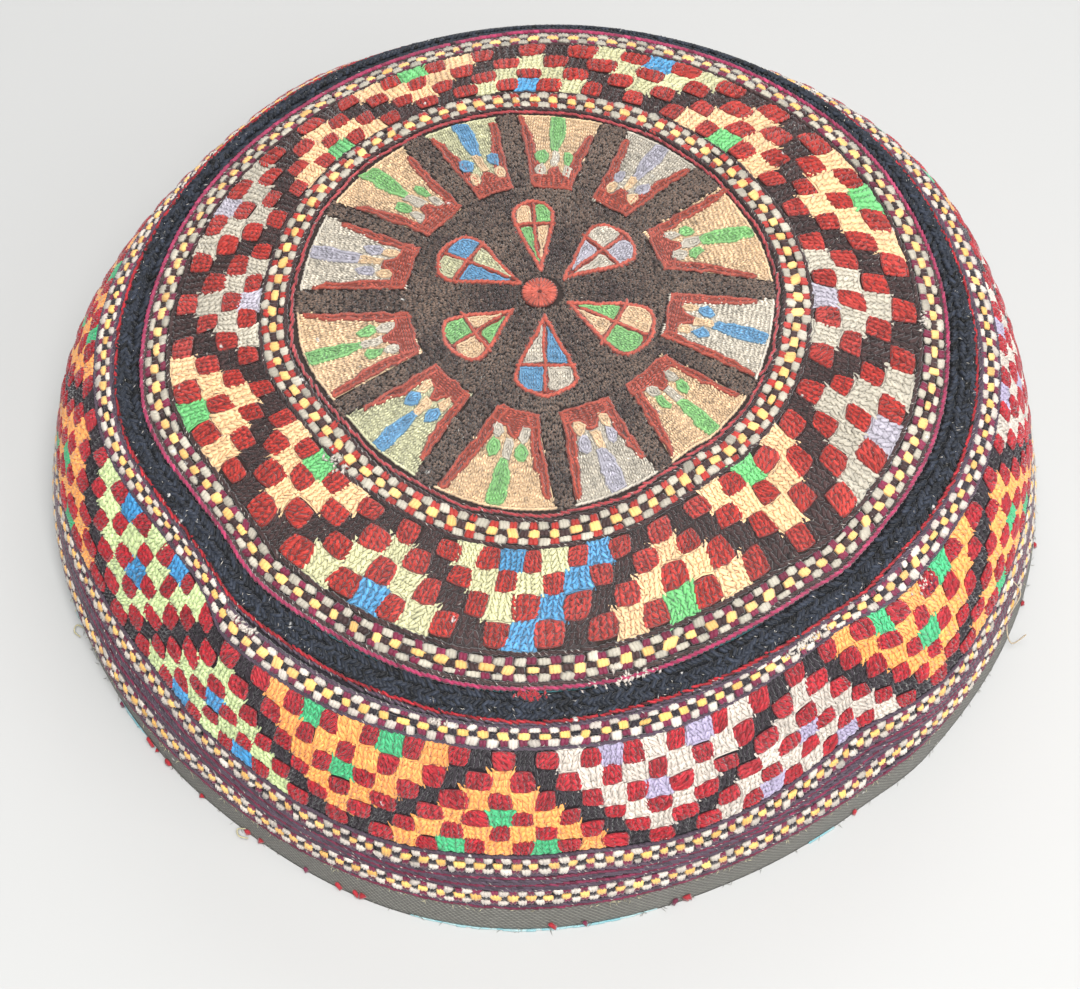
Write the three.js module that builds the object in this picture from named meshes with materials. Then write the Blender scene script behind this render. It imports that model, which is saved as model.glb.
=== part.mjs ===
// Embroidered skullcap with a low domed crown and a flared, creased side wall.
// Millimetres, +Z up. The cap stands on its hem at z = 0, with the wearer's front towards -Y.

import * as THREE from 'three';

// Cloth thicknesses and clearances
const panelThickness = 1.8;
const liningThickness = 1.0;
const seamGap = 0.3;
const liningHemRise = 1.0;

// How far the middle of the plaited band stands above the panels beside it
const braidRise = 0.8;

// Facets round the cap
const facets = 80;

// Share of the hem's height whose thickness runs level, so that its foot is square to the floor
const squareFoot = 0.2;

// Sections of the outer surface, from the middle of the crown down to the hem
const sections = [
  { name: 'centre', radius: 0, height: 51.4 },
  { name: 'boss', radius: 20, height: 51.0 },
  { name: 'wheelEdge', radius: 39.9, height: 49.2 },
  { name: 'crownMiddle', radius: 54, height: 46.6 },
  { name: 'rim', radius: 66.9, height: 41.7 },
  { name: 'shoulder', radius: 71.7, height: 40.8 },
  { name: 'wallTop', radius: 76, height: 38.8 },
  { name: 'wallMiddle', radius: 81.8, height: 30 },
  { name: 'foot', radius: 85.5, height: 19.2 },
  { name: 'borderFoot', radius: 88.4, height: 6.4 },
  { name: 'hem', radius: 89.2, height: 0 },
];

// Dents and bulges that wear has left. Each is centred at an angle in degrees (0 = right, 270 = front),
// fades out over the spans before and after it, and moves each section outward and upward.
// Order of the moves: centre, boss, wheelEdge, crownMiddle, rim, shoulder, wallTop, wallMiddle,
// foot, borderFoot, hem.
const folds = [
  {
    name: 'rightBackFullness', angle: 30, before: 60, after: 50,
    outward: [0, 0, -0.6, 1, 2.2, 1.2, 1.1, 0, -0.6, 0, 0.4],
    upward: [0, 0, -0.4, -0.4, -0.4, -0.4, -0.3, -0.2, -0.1, 0, 0],
  },
  {
    name: 'backDroop', angle: 90, before: 72, after: 75,
    outward: [0, 0, 0, 0, 0, -1.6, -4.2, -3.4, -2.4, -1, 0],
    upward: [0, 0, 0, 0, 0, -2.6, -4.2, -2.8, -1.6, -0.6, 0],
  },
  {
    name: 'backPinch', angle: 120, before: 45, after: 45,
    outward: [0, 0, 0.6, -1, -2.3, -1.2, -0.8, -0.6, -0.4, 0, 0],
    upward: [0, 0, 0.7, 0.7, 0.7, 0.7, 0.5, 0.4, 0.2, 0.1, 0],
  },
  {
    name: 'leftBackFlat', angle: 148, before: 30, after: 34,
    outward: [0, 0, 0, 0, -0.5, -1.4, -3.2, -4.4, -3.6, -2.2, -0.8],
    upward: [0, 0, 0, 0, 0, 0, 0, 0, 0, 0, 0],
  },
  {
    name: 'leftFullness', angle: 193, before: 25, after: 20,
    outward: [0, 0, 0.7, 1, 1.4, 0.8, 0.2, 0.3, 0.4, 0.5, -0.1],
    upward: [0, 0, -0.3, -0.3, -0.3, -0.3, -0.2, -0.1, -0.1, 0, 0],
  },
  {
    name: 'leftCrease', angle: 217, before: 26, after: 12,
    outward: [0, 0, -0.5, -1, -1.4, -1.8, -3.4, -2.6, -1.4, 0.1, -0.5],
    upward: [0, 0, 0.7, 0.7, 0.7, 0.7, 0.5, 0.4, 0.3, 0.1, 0],
  },
  {
    name: 'frontBulge', angle: 262, before: 34, after: 30,
    outward: [0, 0, 1.2, 1.2, 1.2, 1.3, 0.8, 0.9, 1.1, 1.8, 2.6],
    upward: [0, 0, -0.8, -0.8, -0.8, -0.8, -0.6, -0.5, -0.3, -0.2, 0],
  },
  {
    name: 'rightCrease', angle: 307, before: 28, after: 10,
    outward: [0, 0, -0.8, -0.9, -0.9, -0.8, -2.8, -3, -2.9, -1.2, -1.1],
    upward: [0, 0, 1, 1, 1, 1, 0.8, 0.6, 0.4, 0.2, 0],
  },
  {
    name: 'rightFullness', angle: 345, before: 28, after: 35,
    outward: [0, 0, -0.8, 0, 0.8, 1.4, 1.1, 0.9, 0.8, 0.9, 1.4],
    upward: [0, 0, -0.5, -0.5, -0.5, -0.5, -0.4, -0.3, -0.2, 0, 0],
  },
];

const place = {};
sections.forEach((section, index) => {
  place[section.name] = index;
});

// Share of a fold that is felt at an angle: 1 at its middle, 0 at the ends of its spans
function foldShare(fold, angle) {
  const offset = ((angle - fold.angle + 540) % 360) - 180;
  const span = offset < 0 ? fold.before : fold.after;
  if (Math.abs(offset) >= span) return 0;
  return 0.5 * (1 + Math.cos((Math.PI * offset) / span));
}

// Radius and height of every section at one angle, with the folds applied
function meridian(angle) {
  const shares = folds.map((fold) => foldShare(fold, angle));
  return sections.map((section, index) => {
    let radius = section.radius;
    let height = section.height;
    folds.forEach((fold, row) => {
      radius += shares[row] * fold.outward[index];
      height += shares[row] * fold.upward[index];
    });
    return { radius, height };
  });
}

// Catmull-Rom value between b and c, and its slope
function spline(a, b, c, d, share) {
  const linear = 0.5 * (c - a);
  const square = 0.5 * (2 * a - 5 * b + 4 * c - d);
  const cube = 0.5 * (3 * b - a - 3 * c + d);
  return {
    value: b + share * (linear + share * (square + share * cube)),
    slope: linear + share * (2 * square + share * 3 * cube),
  };
}

// Point of the meridian at a section position (2.5 is halfway from section 2 to 3), moved inward by a depth.
// The crown is level in its middle, so the meridian goes on there as its own mirror image.
function wallPoint(line, position, depth) {
  const last = sections.length - 1;
  const start = Math.min(Math.floor(position), last - 1);
  const share = position - start;
  const before = start > 0
    ? line[start - 1]
    : { radius: -line[1].radius, height: line[1].height };
  const after = start + 2 <= last
    ? line[start + 2]
    : {
      radius: 2 * line[last].radius - line[last - 1].radius,
      height: 2 * line[last].height - line[last - 1].height,
    };
  const radius = spline(before.radius, line[start].radius, line[start + 1].radius, after.radius, share);
  const height = spline(before.height, line[start].height, line[start + 1].height, after.height, share);
  if (position > last - squareFoot) return { radius: radius.value - depth, height: height.value };
  const length = Math.hypot(radius.slope, height.slope);
  return {
    radius: Math.max(radius.value + (depth * height.slope) / length, 0),
    height: height.value - (depth * radius.slope) / length,
  };
}

// Section position that lies a distance in millimetres past a named section, down the unfolded wall
function past(name, distance) {
  const start = distance < 0 ? place[name] - 1 : place[name];
  const from = sections[start];
  const to = sections[start + 1];
  const length = Math.hypot(to.radius - from.radius, to.height - from.height);
  return place[name] + distance / length;
}

// Closed skin between two rows of points. Each row lists section positions and depths; the outer row
// runs down the cap and the inner row runs back up. A panel that starts in the middle of the crown has
// one shared point there in each row.
function clothSolid(outerRow, innerRow, closedAtCentre) {
  const loop = [...outerRow, ...innerRow.slice().reverse()];
  const vertices = [];
  const triangles = [];
  const rings = loop.map((entry, index) => {
    const isPole = closedAtCentre && (index === 0 || index === loop.length - 1);
    const start = vertices.length / 3;
    const count = isPole ? 1 : facets;
    for (let step = 0; step < count; step += 1) {
      const angle = (360 * step) / facets;
      const turn = THREE.MathUtils.degToRad(angle);
      const point = wallPoint(meridian(angle), entry.position, entry.depth);
      const radius = isPole ? 0 : point.radius;
      vertices.push(radius * Math.cos(turn), radius * Math.sin(turn), point.height);
    }
    return { start, isPole };
  });
  const sides = closedAtCentre ? loop.length - 1 : loop.length;
  for (let index = 0; index < sides; index += 1) {
    const upper = rings[index];
    const lower = rings[(index + 1) % rings.length];
    for (let step = 0; step < facets; step += 1) {
      const next = (step + 1) % facets;
      if (!lower.isPole) triangles.push(upper.start + (upper.isPole ? 0 : step), lower.start + step, lower.start + next);
      if (!upper.isPole) triangles.push(upper.start + step, lower.isPole ? lower.start : lower.start + next, upper.start + next);
    }
  }
  const geometry = new THREE.BufferGeometry();
  geometry.setAttribute('position', new THREE.Float32BufferAttribute(vertices, 3));
  geometry.setIndex(triangles);
  geometry.computeVertexNormals();
  return geometry;
}

// A panel of even thickness between two depths, through a list of section positions
function panelSolid(positions, outerDepth, innerDepth, closedAtCentre) {
  const row = (depth) => positions.map((position) => ({ position, depth }));
  return clothSolid(row(outerDepth), row(innerDepth), closedAtCentre);
}

function clothPiece(name, geometry, color, roughness) {
  const material = new THREE.MeshStandardMaterial({ color, roughness, metalness: 0 });
  material.flatShading = true;
  const piece = new THREE.Mesh(geometry, material);
  piece.name = name;
  return piece;
}

// Domed round panel that carries the wheel and the crown's ring of triangles
function crownPanel() {
  const edge = past('rim', -seamGap / 2);
  const positions = [0, place.boss, place.wheelEdge, place.crownMiddle, (place.crownMiddle + edge) / 2, edge];
  return clothPiece('crown_panel', panelSolid(positions, 0, panelThickness, true), '#9c5a48', 0.9);
}

// Plump plaited band over the seam between crown and side
function rimBraid() {
  const start = past('rim', seamGap / 2);
  const end = past('shoulder', -seamGap / 2);
  const row = [0, 0.25, 0.5, 0.75, 1].map((share) => ({
    position: start + (end - start) * share,
    depth: -braidRise * Math.sin(Math.PI * share),
  }));
  const under = [0, 0.5, 1].map((share) => ({ position: start + (end - start) * share, depth: panelThickness }));
  return clothPiece('rim_braid', clothSolid(row, under, false), '#23282f', 0.85);
}

// Flared side wall that carries the second ring of triangles and its borders
function sidePanel() {
  const start = past('shoulder', seamGap / 2);
  const end = past('borderFoot', -seamGap / 2);
  const positions = [
    start, (start + place.wallTop) / 2, place.wallTop, (place.wallTop + place.wallMiddle) / 2,
    place.wallMiddle, place.foot, end,
  ];
  return clothPiece('side_panel', panelSolid(positions, 0, panelThickness, false), '#a0523c', 0.9);
}

// Grey twill tape that binds the lower edge. Its foot is flat, and the cap stands on it.
function hemTape() {
  const start = past('borderFoot', seamGap / 2);
  const positions = [start, (start + place.hem) / 2, place.hem];
  return clothPiece('hem_tape', panelSolid(positions, 0, panelThickness, false), '#77776f', 0.95);
}

// Plain cotton lining inside the crown and the wall, ending just above the foot of the tape
function lining() {
  const outerDepth = panelThickness + seamGap;
  const end = past('hem', -liningHemRise);
  const positions = sections.map((section, index) => (index === place.hem ? end : index));
  const geometry = panelSolid(positions, outerDepth, outerDepth + liningThickness, true);
  return clothPiece('lining', geometry, '#5fb3ba', 0.9);
}

const cap = new THREE.Group();
cap.name = 'skullcap';
cap.add(crownPanel(), rimBraid(), sidePanel(), hemTape(), lining());

// The origin is on the floor, below the middle of the cap's bounding box
const bounds = new THREE.Box3().setFromObject(cap);
const middle = bounds.getCenter(new THREE.Vector3());
cap.position.set(-middle.x, -middle.y, -bounds.min.z);
cap.updateMatrixWorld(true);

export default cap;
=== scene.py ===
import math

import bpy
import numpy as np
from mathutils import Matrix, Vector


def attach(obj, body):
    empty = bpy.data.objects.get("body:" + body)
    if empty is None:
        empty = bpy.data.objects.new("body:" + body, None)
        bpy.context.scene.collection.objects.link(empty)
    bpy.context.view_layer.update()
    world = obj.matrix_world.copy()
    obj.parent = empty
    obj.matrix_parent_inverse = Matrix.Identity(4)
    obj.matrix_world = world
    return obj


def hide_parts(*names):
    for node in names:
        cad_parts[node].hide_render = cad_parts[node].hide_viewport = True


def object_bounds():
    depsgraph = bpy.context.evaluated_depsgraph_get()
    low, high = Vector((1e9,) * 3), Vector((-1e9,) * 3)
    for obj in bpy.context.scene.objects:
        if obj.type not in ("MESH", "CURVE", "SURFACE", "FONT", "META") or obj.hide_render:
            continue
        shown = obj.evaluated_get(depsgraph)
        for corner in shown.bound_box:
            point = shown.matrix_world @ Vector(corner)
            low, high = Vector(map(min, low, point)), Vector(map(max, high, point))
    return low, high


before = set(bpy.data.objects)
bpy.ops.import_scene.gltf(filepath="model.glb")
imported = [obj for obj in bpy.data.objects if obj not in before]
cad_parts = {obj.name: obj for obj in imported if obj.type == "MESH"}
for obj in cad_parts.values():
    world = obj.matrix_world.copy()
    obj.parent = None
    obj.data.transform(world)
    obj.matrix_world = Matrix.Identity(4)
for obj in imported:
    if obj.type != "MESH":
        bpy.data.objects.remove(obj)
cadLow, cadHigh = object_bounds()
mm = 0.001
dice = np.random.default_rng(20)

# The cap's outer surface, in millimetres, as in the solids. Angles go round anticlockwise from +X.
capShape = {
    "sections": [("centre", 0, 51.4), ("boss", 20, 51), ("wheelEdge", 39.9, 49.2), ("crownMiddle", 54, 46.6),
                 ("rim", 66.9, 41.7), ("shoulder", 71.7, 40.8), ("wallTop", 76, 38.8), ("wallMiddle", 81.8, 30),
                 ("foot", 85.5, 19.2), ("borderFoot", 88.4, 6.4), ("hem", 89.2, 0)],
    # name, angle, reach before and after it, then how far each section moves out and up
    "folds": [
        ("rightBackFullness", 30, 60, 50, [0, 0, -0.6, 1, 2.2, 1.2, 1.1, 0, -0.6, 0, 0.4],
         [0, 0, -0.4, -0.4, -0.4, -0.4, -0.3, -0.2, -0.1, 0, 0]),
        ("backDroop", 90, 72, 75, [0, 0, 0, 0, 0, -1.6, -4.2, -3.4, -2.4, -1, 0],
         [0, 0, 0, 0, 0, -2.6, -4.2, -2.8, -1.6, -0.6, 0]),
        ("backPinch", 120, 45, 45, [0, 0, 0.6, -1, -2.3, -1.2, -0.8, -0.6, -0.4, 0, 0],
         [0, 0, 0.7, 0.7, 0.7, 0.7, 0.5, 0.4, 0.2, 0.1, 0]),
        ("leftBackFlat", 148, 30, 34, [0, 0, 0, 0, -0.5, -1.4, -3.2, -4.4, -3.6, -2.2, -0.8], [0] * 11),
        ("leftFullness", 193, 25, 20, [0, 0, 0.7, 1, 1.4, 0.8, 0.2, 0.3, 0.4, 0.5, -0.1],
         [0, 0, -0.3, -0.3, -0.3, -0.3, -0.2, -0.1, -0.1, 0, 0]),
        ("leftCrease", 217, 26, 12, [0, 0, -0.5, -1, -1.4, -1.8, -3.4, -2.6, -1.4, 0.1, -0.5],
         [0, 0, 0.7, 0.7, 0.7, 0.7, 0.5, 0.4, 0.3, 0.1, 0]),
        ("frontBulge", 262, 34, 30, [0, 0, 1.2, 1.2, 1.2, 1.3, 0.8, 0.9, 1.1, 1.8, 2.6],
         [0, 0, -0.8, -0.8, -0.8, -0.8, -0.6, -0.5, -0.3, -0.2, 0]),
        ("rightCrease", 307, 28, 10, [0, 0, -0.8, -0.9, -0.9, -0.8, -2.8, -3, -2.9, -1.2, -1.1],
         [0, 0, 1, 1, 1, 1, 0.8, 0.6, 0.4, 0.2, 0]),
        ("rightFullness", 345, 28, 35, [0, 0, -0.8, 0, 0.8, 1.4, 1.1, 0.9, 0.8, 0.9, 1.4],
         [0, 0, -0.5, -0.5, -0.5, -0.5, -0.4, -0.3, -0.2, 0, 0]),
    ],
    "angleSteps": 1440,
    "placeSteps": 50,  # between two sections
}
sectionRadius = np.array([s[1] for s in capShape["sections"]], float)
sectionHeight = np.array([s[2] for s in capShape["sections"]], float)
rim, shoulder, borderFoot, hem = 4, 5, 9, 10  # places are counted in sections from the centre
wallDrop = np.r_[0, np.cumsum(np.hypot(np.diff(sectionRadius[shoulder:]), np.diff(sectionHeight[shoulder:])))]


def smoothLine(values, place):  # Catmull-Rom through the section values
    index = np.clip(np.floor(place).astype(int), 0, len(values) - 4)
    part = (place - index)[:, None]
    a, b, c, d = (values[index + k] for k in range(4))
    return b + part * (0.5 * (c - a) + part * (0.5 * (2 * a - 5 * b + 4 * c - d) + part * 0.5 * (3 * b - a - 3 * c + d)))


def makeCapGrid():
    angles = np.arange(capShape["angleSteps"]) * 360 / capShape["angleSteps"]
    radius = np.repeat(sectionRadius[:, None], len(angles), 1)
    height = np.repeat(sectionHeight[:, None], len(angles), 1)
    for name, middle, before, after, outward, upward in capShape["folds"]:
        offset = (angles - middle + 180) % 360 - 180
        span = np.where(offset < 0, before, after)
        share = np.where(np.abs(offset) < span, 0.5 * (1 + np.cos(np.pi * offset / span)), 0)
        radius += np.outer(outward, share)
        height += np.outer(upward, share)
    radius = np.vstack([-radius[1:2], radius, 2 * radius[-1:] - radius[-2:-1]])
    height = np.vstack([height[1:2], height, 2 * height[-1:] - height[-2:-1]])
    places = np.arange(hem * capShape["placeSteps"] + 1) / capShape["placeSteps"]
    radii, heights = smoothLine(radius, places), smoothLine(height, places)
    turn = np.radians(angles)
    points = np.stack([radii * np.cos(turn), radii * np.sin(turn), heights], -1) * mm
    down = np.gradient(points, axis=0)
    around = np.roll(points, -1, 1) - np.roll(points, 1, 1)
    down[0], around[0] = down[1], around[1]
    down /= np.linalg.norm(down, axis=-1, keepdims=True)
    around /= np.linalg.norm(around, axis=-1, keepdims=True)
    normal = np.cross(down, around)
    normal /= np.linalg.norm(normal, axis=-1, keepdims=True)
    return np.concatenate([points, normal, around, down], -1)


capGrid = makeCapGrid()
gridPoints = capGrid[..., :2].reshape(-1, 2)
capShift = np.array([*((np.array(cadLow) + np.array(cadHigh))[:2] / 2
                       - (gridPoints.min(0) + gridPoints.max(0)) / 2), 0])
capGrid[..., :3] += capShift  # the cap's middle stands over the origin
print("surface ready, moved by", (capShift / mm).round(2), "mm")


def crownPlace(radius):
    return np.interp(radius, sectionRadius[:shoulder + 1], range(shoulder + 1))


def wallPlace(drop):  # drop is the way down the wall from the shoulder
    return np.interp(drop, wallDrop, range(shoulder, hem + 1))


def onCap(angle, place):  # point, normal, way round and way down, side by side
    angle, place = np.broadcast_arrays(np.asarray(angle, float), np.asarray(place, float))
    across = (angle % 360) * capShape["angleSteps"] / 360
    along = np.clip(place * capShape["placeSteps"], 0, capGrid.shape[0] - 1.001)
    i, j = along.astype(int), across.astype(int)
    s, t = (along - i)[..., None], (across - j)[..., None]
    j = j % capShape["angleSteps"]
    k = (j + 1) % capShape["angleSteps"]
    return ((capGrid[i, j] * (1 - t) + capGrid[i, k] * t) * (1 - s)
            + (capGrid[i + 1, j] * (1 - t) + capGrid[i + 1, k] * t) * s)


def raised(angle, place, lift):  # a point that lies lift millimetres above the cap
    spot = onCap(angle, place)
    return spot[..., :3] + spot[..., 3:6] * np.asarray(lift * mm)[..., None]


def around(table, angle):  # a value that changes with the angle, from a short table
    angles, values = (np.array(part, float) for part in zip(*sorted(table.items())))
    return np.interp(np.asarray(angle) % 360, np.r_[angles[-1] - 360, angles, angles[0] + 360],
                     np.r_[values[-1], values, values[0]])


def linear(red, green, blue):  # a screen colour in the shader's terms
    part = np.array([red, green, blue]) / 255
    return np.where(part <= 0.04045, part / 12.92, ((part + 0.055) / 1.055) ** 2.4)


# Thread colours by letter: Red, dark K, Peach, Green, Lime, Blue, White, Violet, Yellow, Magenta, brown N,
# Faded red, Earthy red, Dark line, Soft rose; on the wall also Orange and Purple
crownThread = {"R": linear(163, 46, 38), "K": linear(58, 39, 38), "P": linear(234, 195, 147),
               "G": linear(112, 193, 119), "L": linear(204, 201, 158), "B": linear(82, 151, 195),
               "W": linear(191, 183, 166), "V": linear(180, 174, 184), "Y": linear(240, 188, 112),
               "M": linear(114, 31, 59), "N": linear(108, 88, 75), "F": linear(140, 51, 36),
               "E": linear(159, 60, 38), "D": linear(62, 47, 45), "S": linear(156, 58, 62)}
sideThread = {"R": linear(167, 32, 43), "K": linear(44, 37, 43), "O": linear(255, 174, 93),
              "G": linear(74, 184, 126), "L": linear(208, 223, 164), "B": linear(68, 148, 200),
              "W": linear(211, 200, 188), "V": linear(176, 166, 192), "Y": linear(240, 186, 104),
              "M": linear(113, 35, 63), "P": linear(78, 63, 76)}
# The wheel is the most faded part
wheelThread = {"P": linear(201, 170, 131), "G": linear(116, 170, 100), "L": linear(177, 175, 139),
               "B": linear(82, 135, 171), "W": linear(185, 176, 160), "V": linear(168, 164, 174)}


def strandFaces(sections):  # corner numbers of a strand's faces, and where each corner is baked
    faces, places = [], []
    last = 1 + 3 * sections
    alongOf = [0.04] + [0.2 + 0.6 * (k // 3 + 0.5) / sections for k in range(3 * sections)] + [0.96]
    acrossOf = [(0.06, 0.47, 0.27), (0.47, 0.88, 0.67), (0.98, 0.92, 0.95)]  # left, right and under side
    for band, (one, other) in enumerate(((0, 1), (1, 2), (2, 0))):
        low, high, middle = acrossOf[band]
        runs = [(0, 1 + other, 1 + one)]
        for k in range(sections - 1):
            runs.append((1 + 3 * k + one, 1 + 3 * k + other, 4 + 3 * k + other, 4 + 3 * k + one))
        runs.append((last - 3 + one, last - 3 + other, last))
        for run in runs:
            faces.append(run)
            for corner in run:
                tip = corner in (0, last)
                places.append((alongOf[corner], middle if tip else (low if (corner - 1) % 3 == one else high)))
    return faces, np.array(places)


def paintMesh(mesh, tones):
    paint = mesh.color_attributes.new("threadColour", "FLOAT_COLOR", "POINT")
    paint.data.foreach_set("color", np.concatenate([np.clip(tones, 0, 1), np.ones((len(tones), 1))], 1).ravel())
    mesh.polygons.foreach_set("use_smooth", np.ones(len(mesh.polygons), bool))


class ThreadWork:  # the strands of one piece, each a closed spindle that lies on the cap
    def __init__(self):
        self.strands = {1: [], 2: []}  # by how many sections a strand has between its two tips

    def lay(self, tail, head, normal, width, rise, colour, bow=0.0, blunt=None, low=0.0, tip=0.75):
        # tail and head are points; width is half the strand's, and all lengths are in metres
        def column(value):
            return np.broadcast_to(np.asarray(value, float), (len(tail),))[:, None]
        width, rise, bow, low = column(width), column(rise), column(bow), column(low)
        way = head - tail
        side = np.cross(normal, way)
        side /= np.linalg.norm(side, axis=1, keepdims=True) + 1e-12
        stations = [0.5] if blunt is None else [blunt, 1 - blunt]
        points = [tail - normal * low]
        for step in stations:
            middle = tail + way * step + side * bow
            points += [middle + side * width, middle + normal * rise, middle - side * width]
        points.append(head + normal * rise * 0.1)
        tone = np.repeat(np.asarray(colour, float)[:, None, :], len(points), 1)
        # painted shade: both tips of each strand are darkened by the factor tip, where the strand dips into the cloth
        tone[:, [0, -1]] *= tip
        self.strands[len(stations)].append((np.stack(points, 1), tone))

    def chain(self, tail, head, normal, width, rise, colour, open=0.25, thick=0.27, blunt=0.26):
        # one chain stitch: two strands that part from its tail
        side = np.cross(normal, head - tail)
        side /= np.linalg.norm(side, axis=1, keepdims=True) + 1e-12
        width = np.broadcast_to(np.asarray(width, float), (len(tail),))
        for hand in (-1, 1):
            shade = colour * (1 + dice.normal(0, 0.06, (len(tail), 1)))
            start = tail + side * (hand * 0.05 * width)[:, None]
            end = head + side * (hand * open * width)[:, None]
            bow = 0.0 if blunt is None else hand * width * 0.1
            self.lay(start, end, normal, width * thick, rise, shade, bow, blunt, 0.06 * mm)

    def build(self, name, slot, finish):
        points, tones, corners, starts, spots = [], [], [], [], []
        strands = sum(len(part[0]) for parts in self.strands.values() for part in parts)
        across = math.ceil(math.sqrt(strands))
        vertexCount = loopCount = number = 0
        for sections, parts in self.strands.items():
            if not parts:
                continue
            shape = np.concatenate([part[0] for part in parts])
            count, each = shape.shape[:2]
            faces, places = strandFaces(sections)
            loops = np.concatenate(faces)
            sizes = np.array([len(face) for face in faces])
            points.append(shape.reshape(-1, 3))
            tones.append(np.concatenate([part[1] for part in parts]).reshape(-1, 3))
            corners.append((vertexCount + np.arange(count)[:, None] * each + loops).ravel())
            starts.append((loopCount + np.arange(count)[:, None] * len(loops)
                           + np.r_[0, np.cumsum(sizes)[:-1]]).ravel())
            cell = number + np.arange(count)
            cell = np.stack([cell % across, cell // across], 1)[:, None]
            spots.append(((cell + places) / across).reshape(-1, 2))
            vertexCount += count * each
            loopCount += count * len(loops)
            number += count
        starts = np.concatenate(starts)
        mesh = bpy.data.meshes.new(name)
        mesh.vertices.add(vertexCount)
        mesh.vertices.foreach_set("co", np.concatenate(points).ravel())
        mesh.loops.add(loopCount)
        mesh.loops.foreach_set("vertex_index", np.concatenate(corners))
        mesh.polygons.add(len(starts))
        mesh.polygons.foreach_set("loop_start", starts)
        mesh.update(calc_edges=True)
        paintMesh(mesh, np.concatenate(tones))
        layer = mesh.uv_layers.new(name="OFBake")  # each strand has a square of its own to be baked in
        layer.data.foreach_set("uv", np.concatenate(spots).ravel())
        mesh.calc_loop_triangles()
        print(name, "has", strands, "strands and", len(mesh.loop_triangles), "triangles")
        return addPiece(name, mesh, finish)


class PadWork:  # pads of thread that lie under the stitches and give them their colour, darkened as painted shade in the gaps between them
    def __init__(self):
        self.points, self.tones, self.faces, self.count = [], [], [], 0

    def add(self, points, colour, wrap=False):  # points are pads by rows by columns
        pads, rows, columns = points.shape[:3]
        number = self.count + np.arange(pads * rows * columns).reshape(pads, rows, columns)
        if wrap:
            number = np.concatenate([number, number[:, :, :1]], 2)
        faces = np.stack([number[:, :-1, :-1], number[:, 1:, :-1], number[:, 1:, 1:], number[:, :-1, 1:]], -1)
        self.points.append(points.reshape(-1, 3))
        self.tones.append(np.broadcast_to(np.asarray(colour, float).reshape(-1, 1, 1, 3), points.shape).reshape(-1, 3))
        self.faces.append(faces.reshape(-1, 4))
        self.count += pads * rows * columns

    def build(self, name, slot, finish):
        mesh = bpy.data.meshes.new(name)
        mesh.from_pydata(np.concatenate(self.points).tolist(), [], np.concatenate(self.faces).tolist())
        paintMesh(mesh, np.concatenate(self.tones))
        mesh.update()
        print(name, "has", len(mesh.polygons) * 2, "triangles")
        return addPiece(name, mesh, finish)


def addPiece(name, mesh, finish, replaces=()):
    piece = bpy.data.objects.new(name, mesh)
    bpy.context.scene.collection.objects.link(piece)
    mesh.materials.append(finish)
    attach(piece, "root")
    if replaces:
        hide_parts(*replaces)
    return piece


# Finishes

def addNode(tree, kind, inputs=None, **settings):
    node = tree.nodes.new(kind)
    for key, value in settings.items():
        setattr(node, key, value)
    for key, value in (inputs or {}).items():
        if isinstance(value, bpy.types.NodeSocket):
            tree.links.new(value, node.inputs[key])
        else:
            node.inputs[key].default_value = value
    return node


def startGroup(name, inputs, outputs):
    group = bpy.data.node_groups.new(name, "ShaderNodeTree")
    kinds = {"colour": "NodeSocketColor", "value": "NodeSocketFloat", "vector": "NodeSocketVector"}
    for label, (kind, value) in inputs.items():
        socket = group.interface.new_socket(label, in_out="INPUT", socket_type=kinds[kind])
        socket.default_value = value
    for label, kind in outputs.items():
        group.interface.new_socket(label, in_out="OUTPUT", socket_type=kinds[kind])
    return group, group.nodes.new("NodeGroupInput").outputs, group.nodes.new("NodeGroupOutput")


def placeGroup(tree, group, inputs):
    return addNode(tree, "ShaderNodeGroup", inputs, node_tree=group).outputs


def makeFibreGroup():  # fine fuzz of spun cotton: a height, and a light and dark mottle that follows it, partly the fibres' own tone and partly painted light and shade
    group, given, out = startGroup("spunFibre", {"Scale": ("value", 3000), "Contrast": ("value", 0.3)},
                                   {"Height": "value", "Mottle And Shade": "value"})
    place = addNode(group, "ShaderNodeTexCoord").outputs["Object"]
    fine = addNode(group, "ShaderNodeTexNoise", {"Vector": place, "Scale": given["Scale"], "Detail": 3.0,
                                                 "Roughness": 0.65})
    span = addNode(group, "ShaderNodeMath", {0: fine.outputs["Fac"], 1: 0.5}, operation="SUBTRACT")
    mottleAndShade = addNode(group, "ShaderNodeMath", {0: span.outputs[0], 1: given["Contrast"], 2: 1.0},
                     operation="MULTIPLY_ADD")
    group.links.new(fine.outputs["Fac"], out.inputs["Height"])
    group.links.new(mottleAndShade.outputs[0], out.inputs["Mottle And Shade"])
    return group


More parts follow.
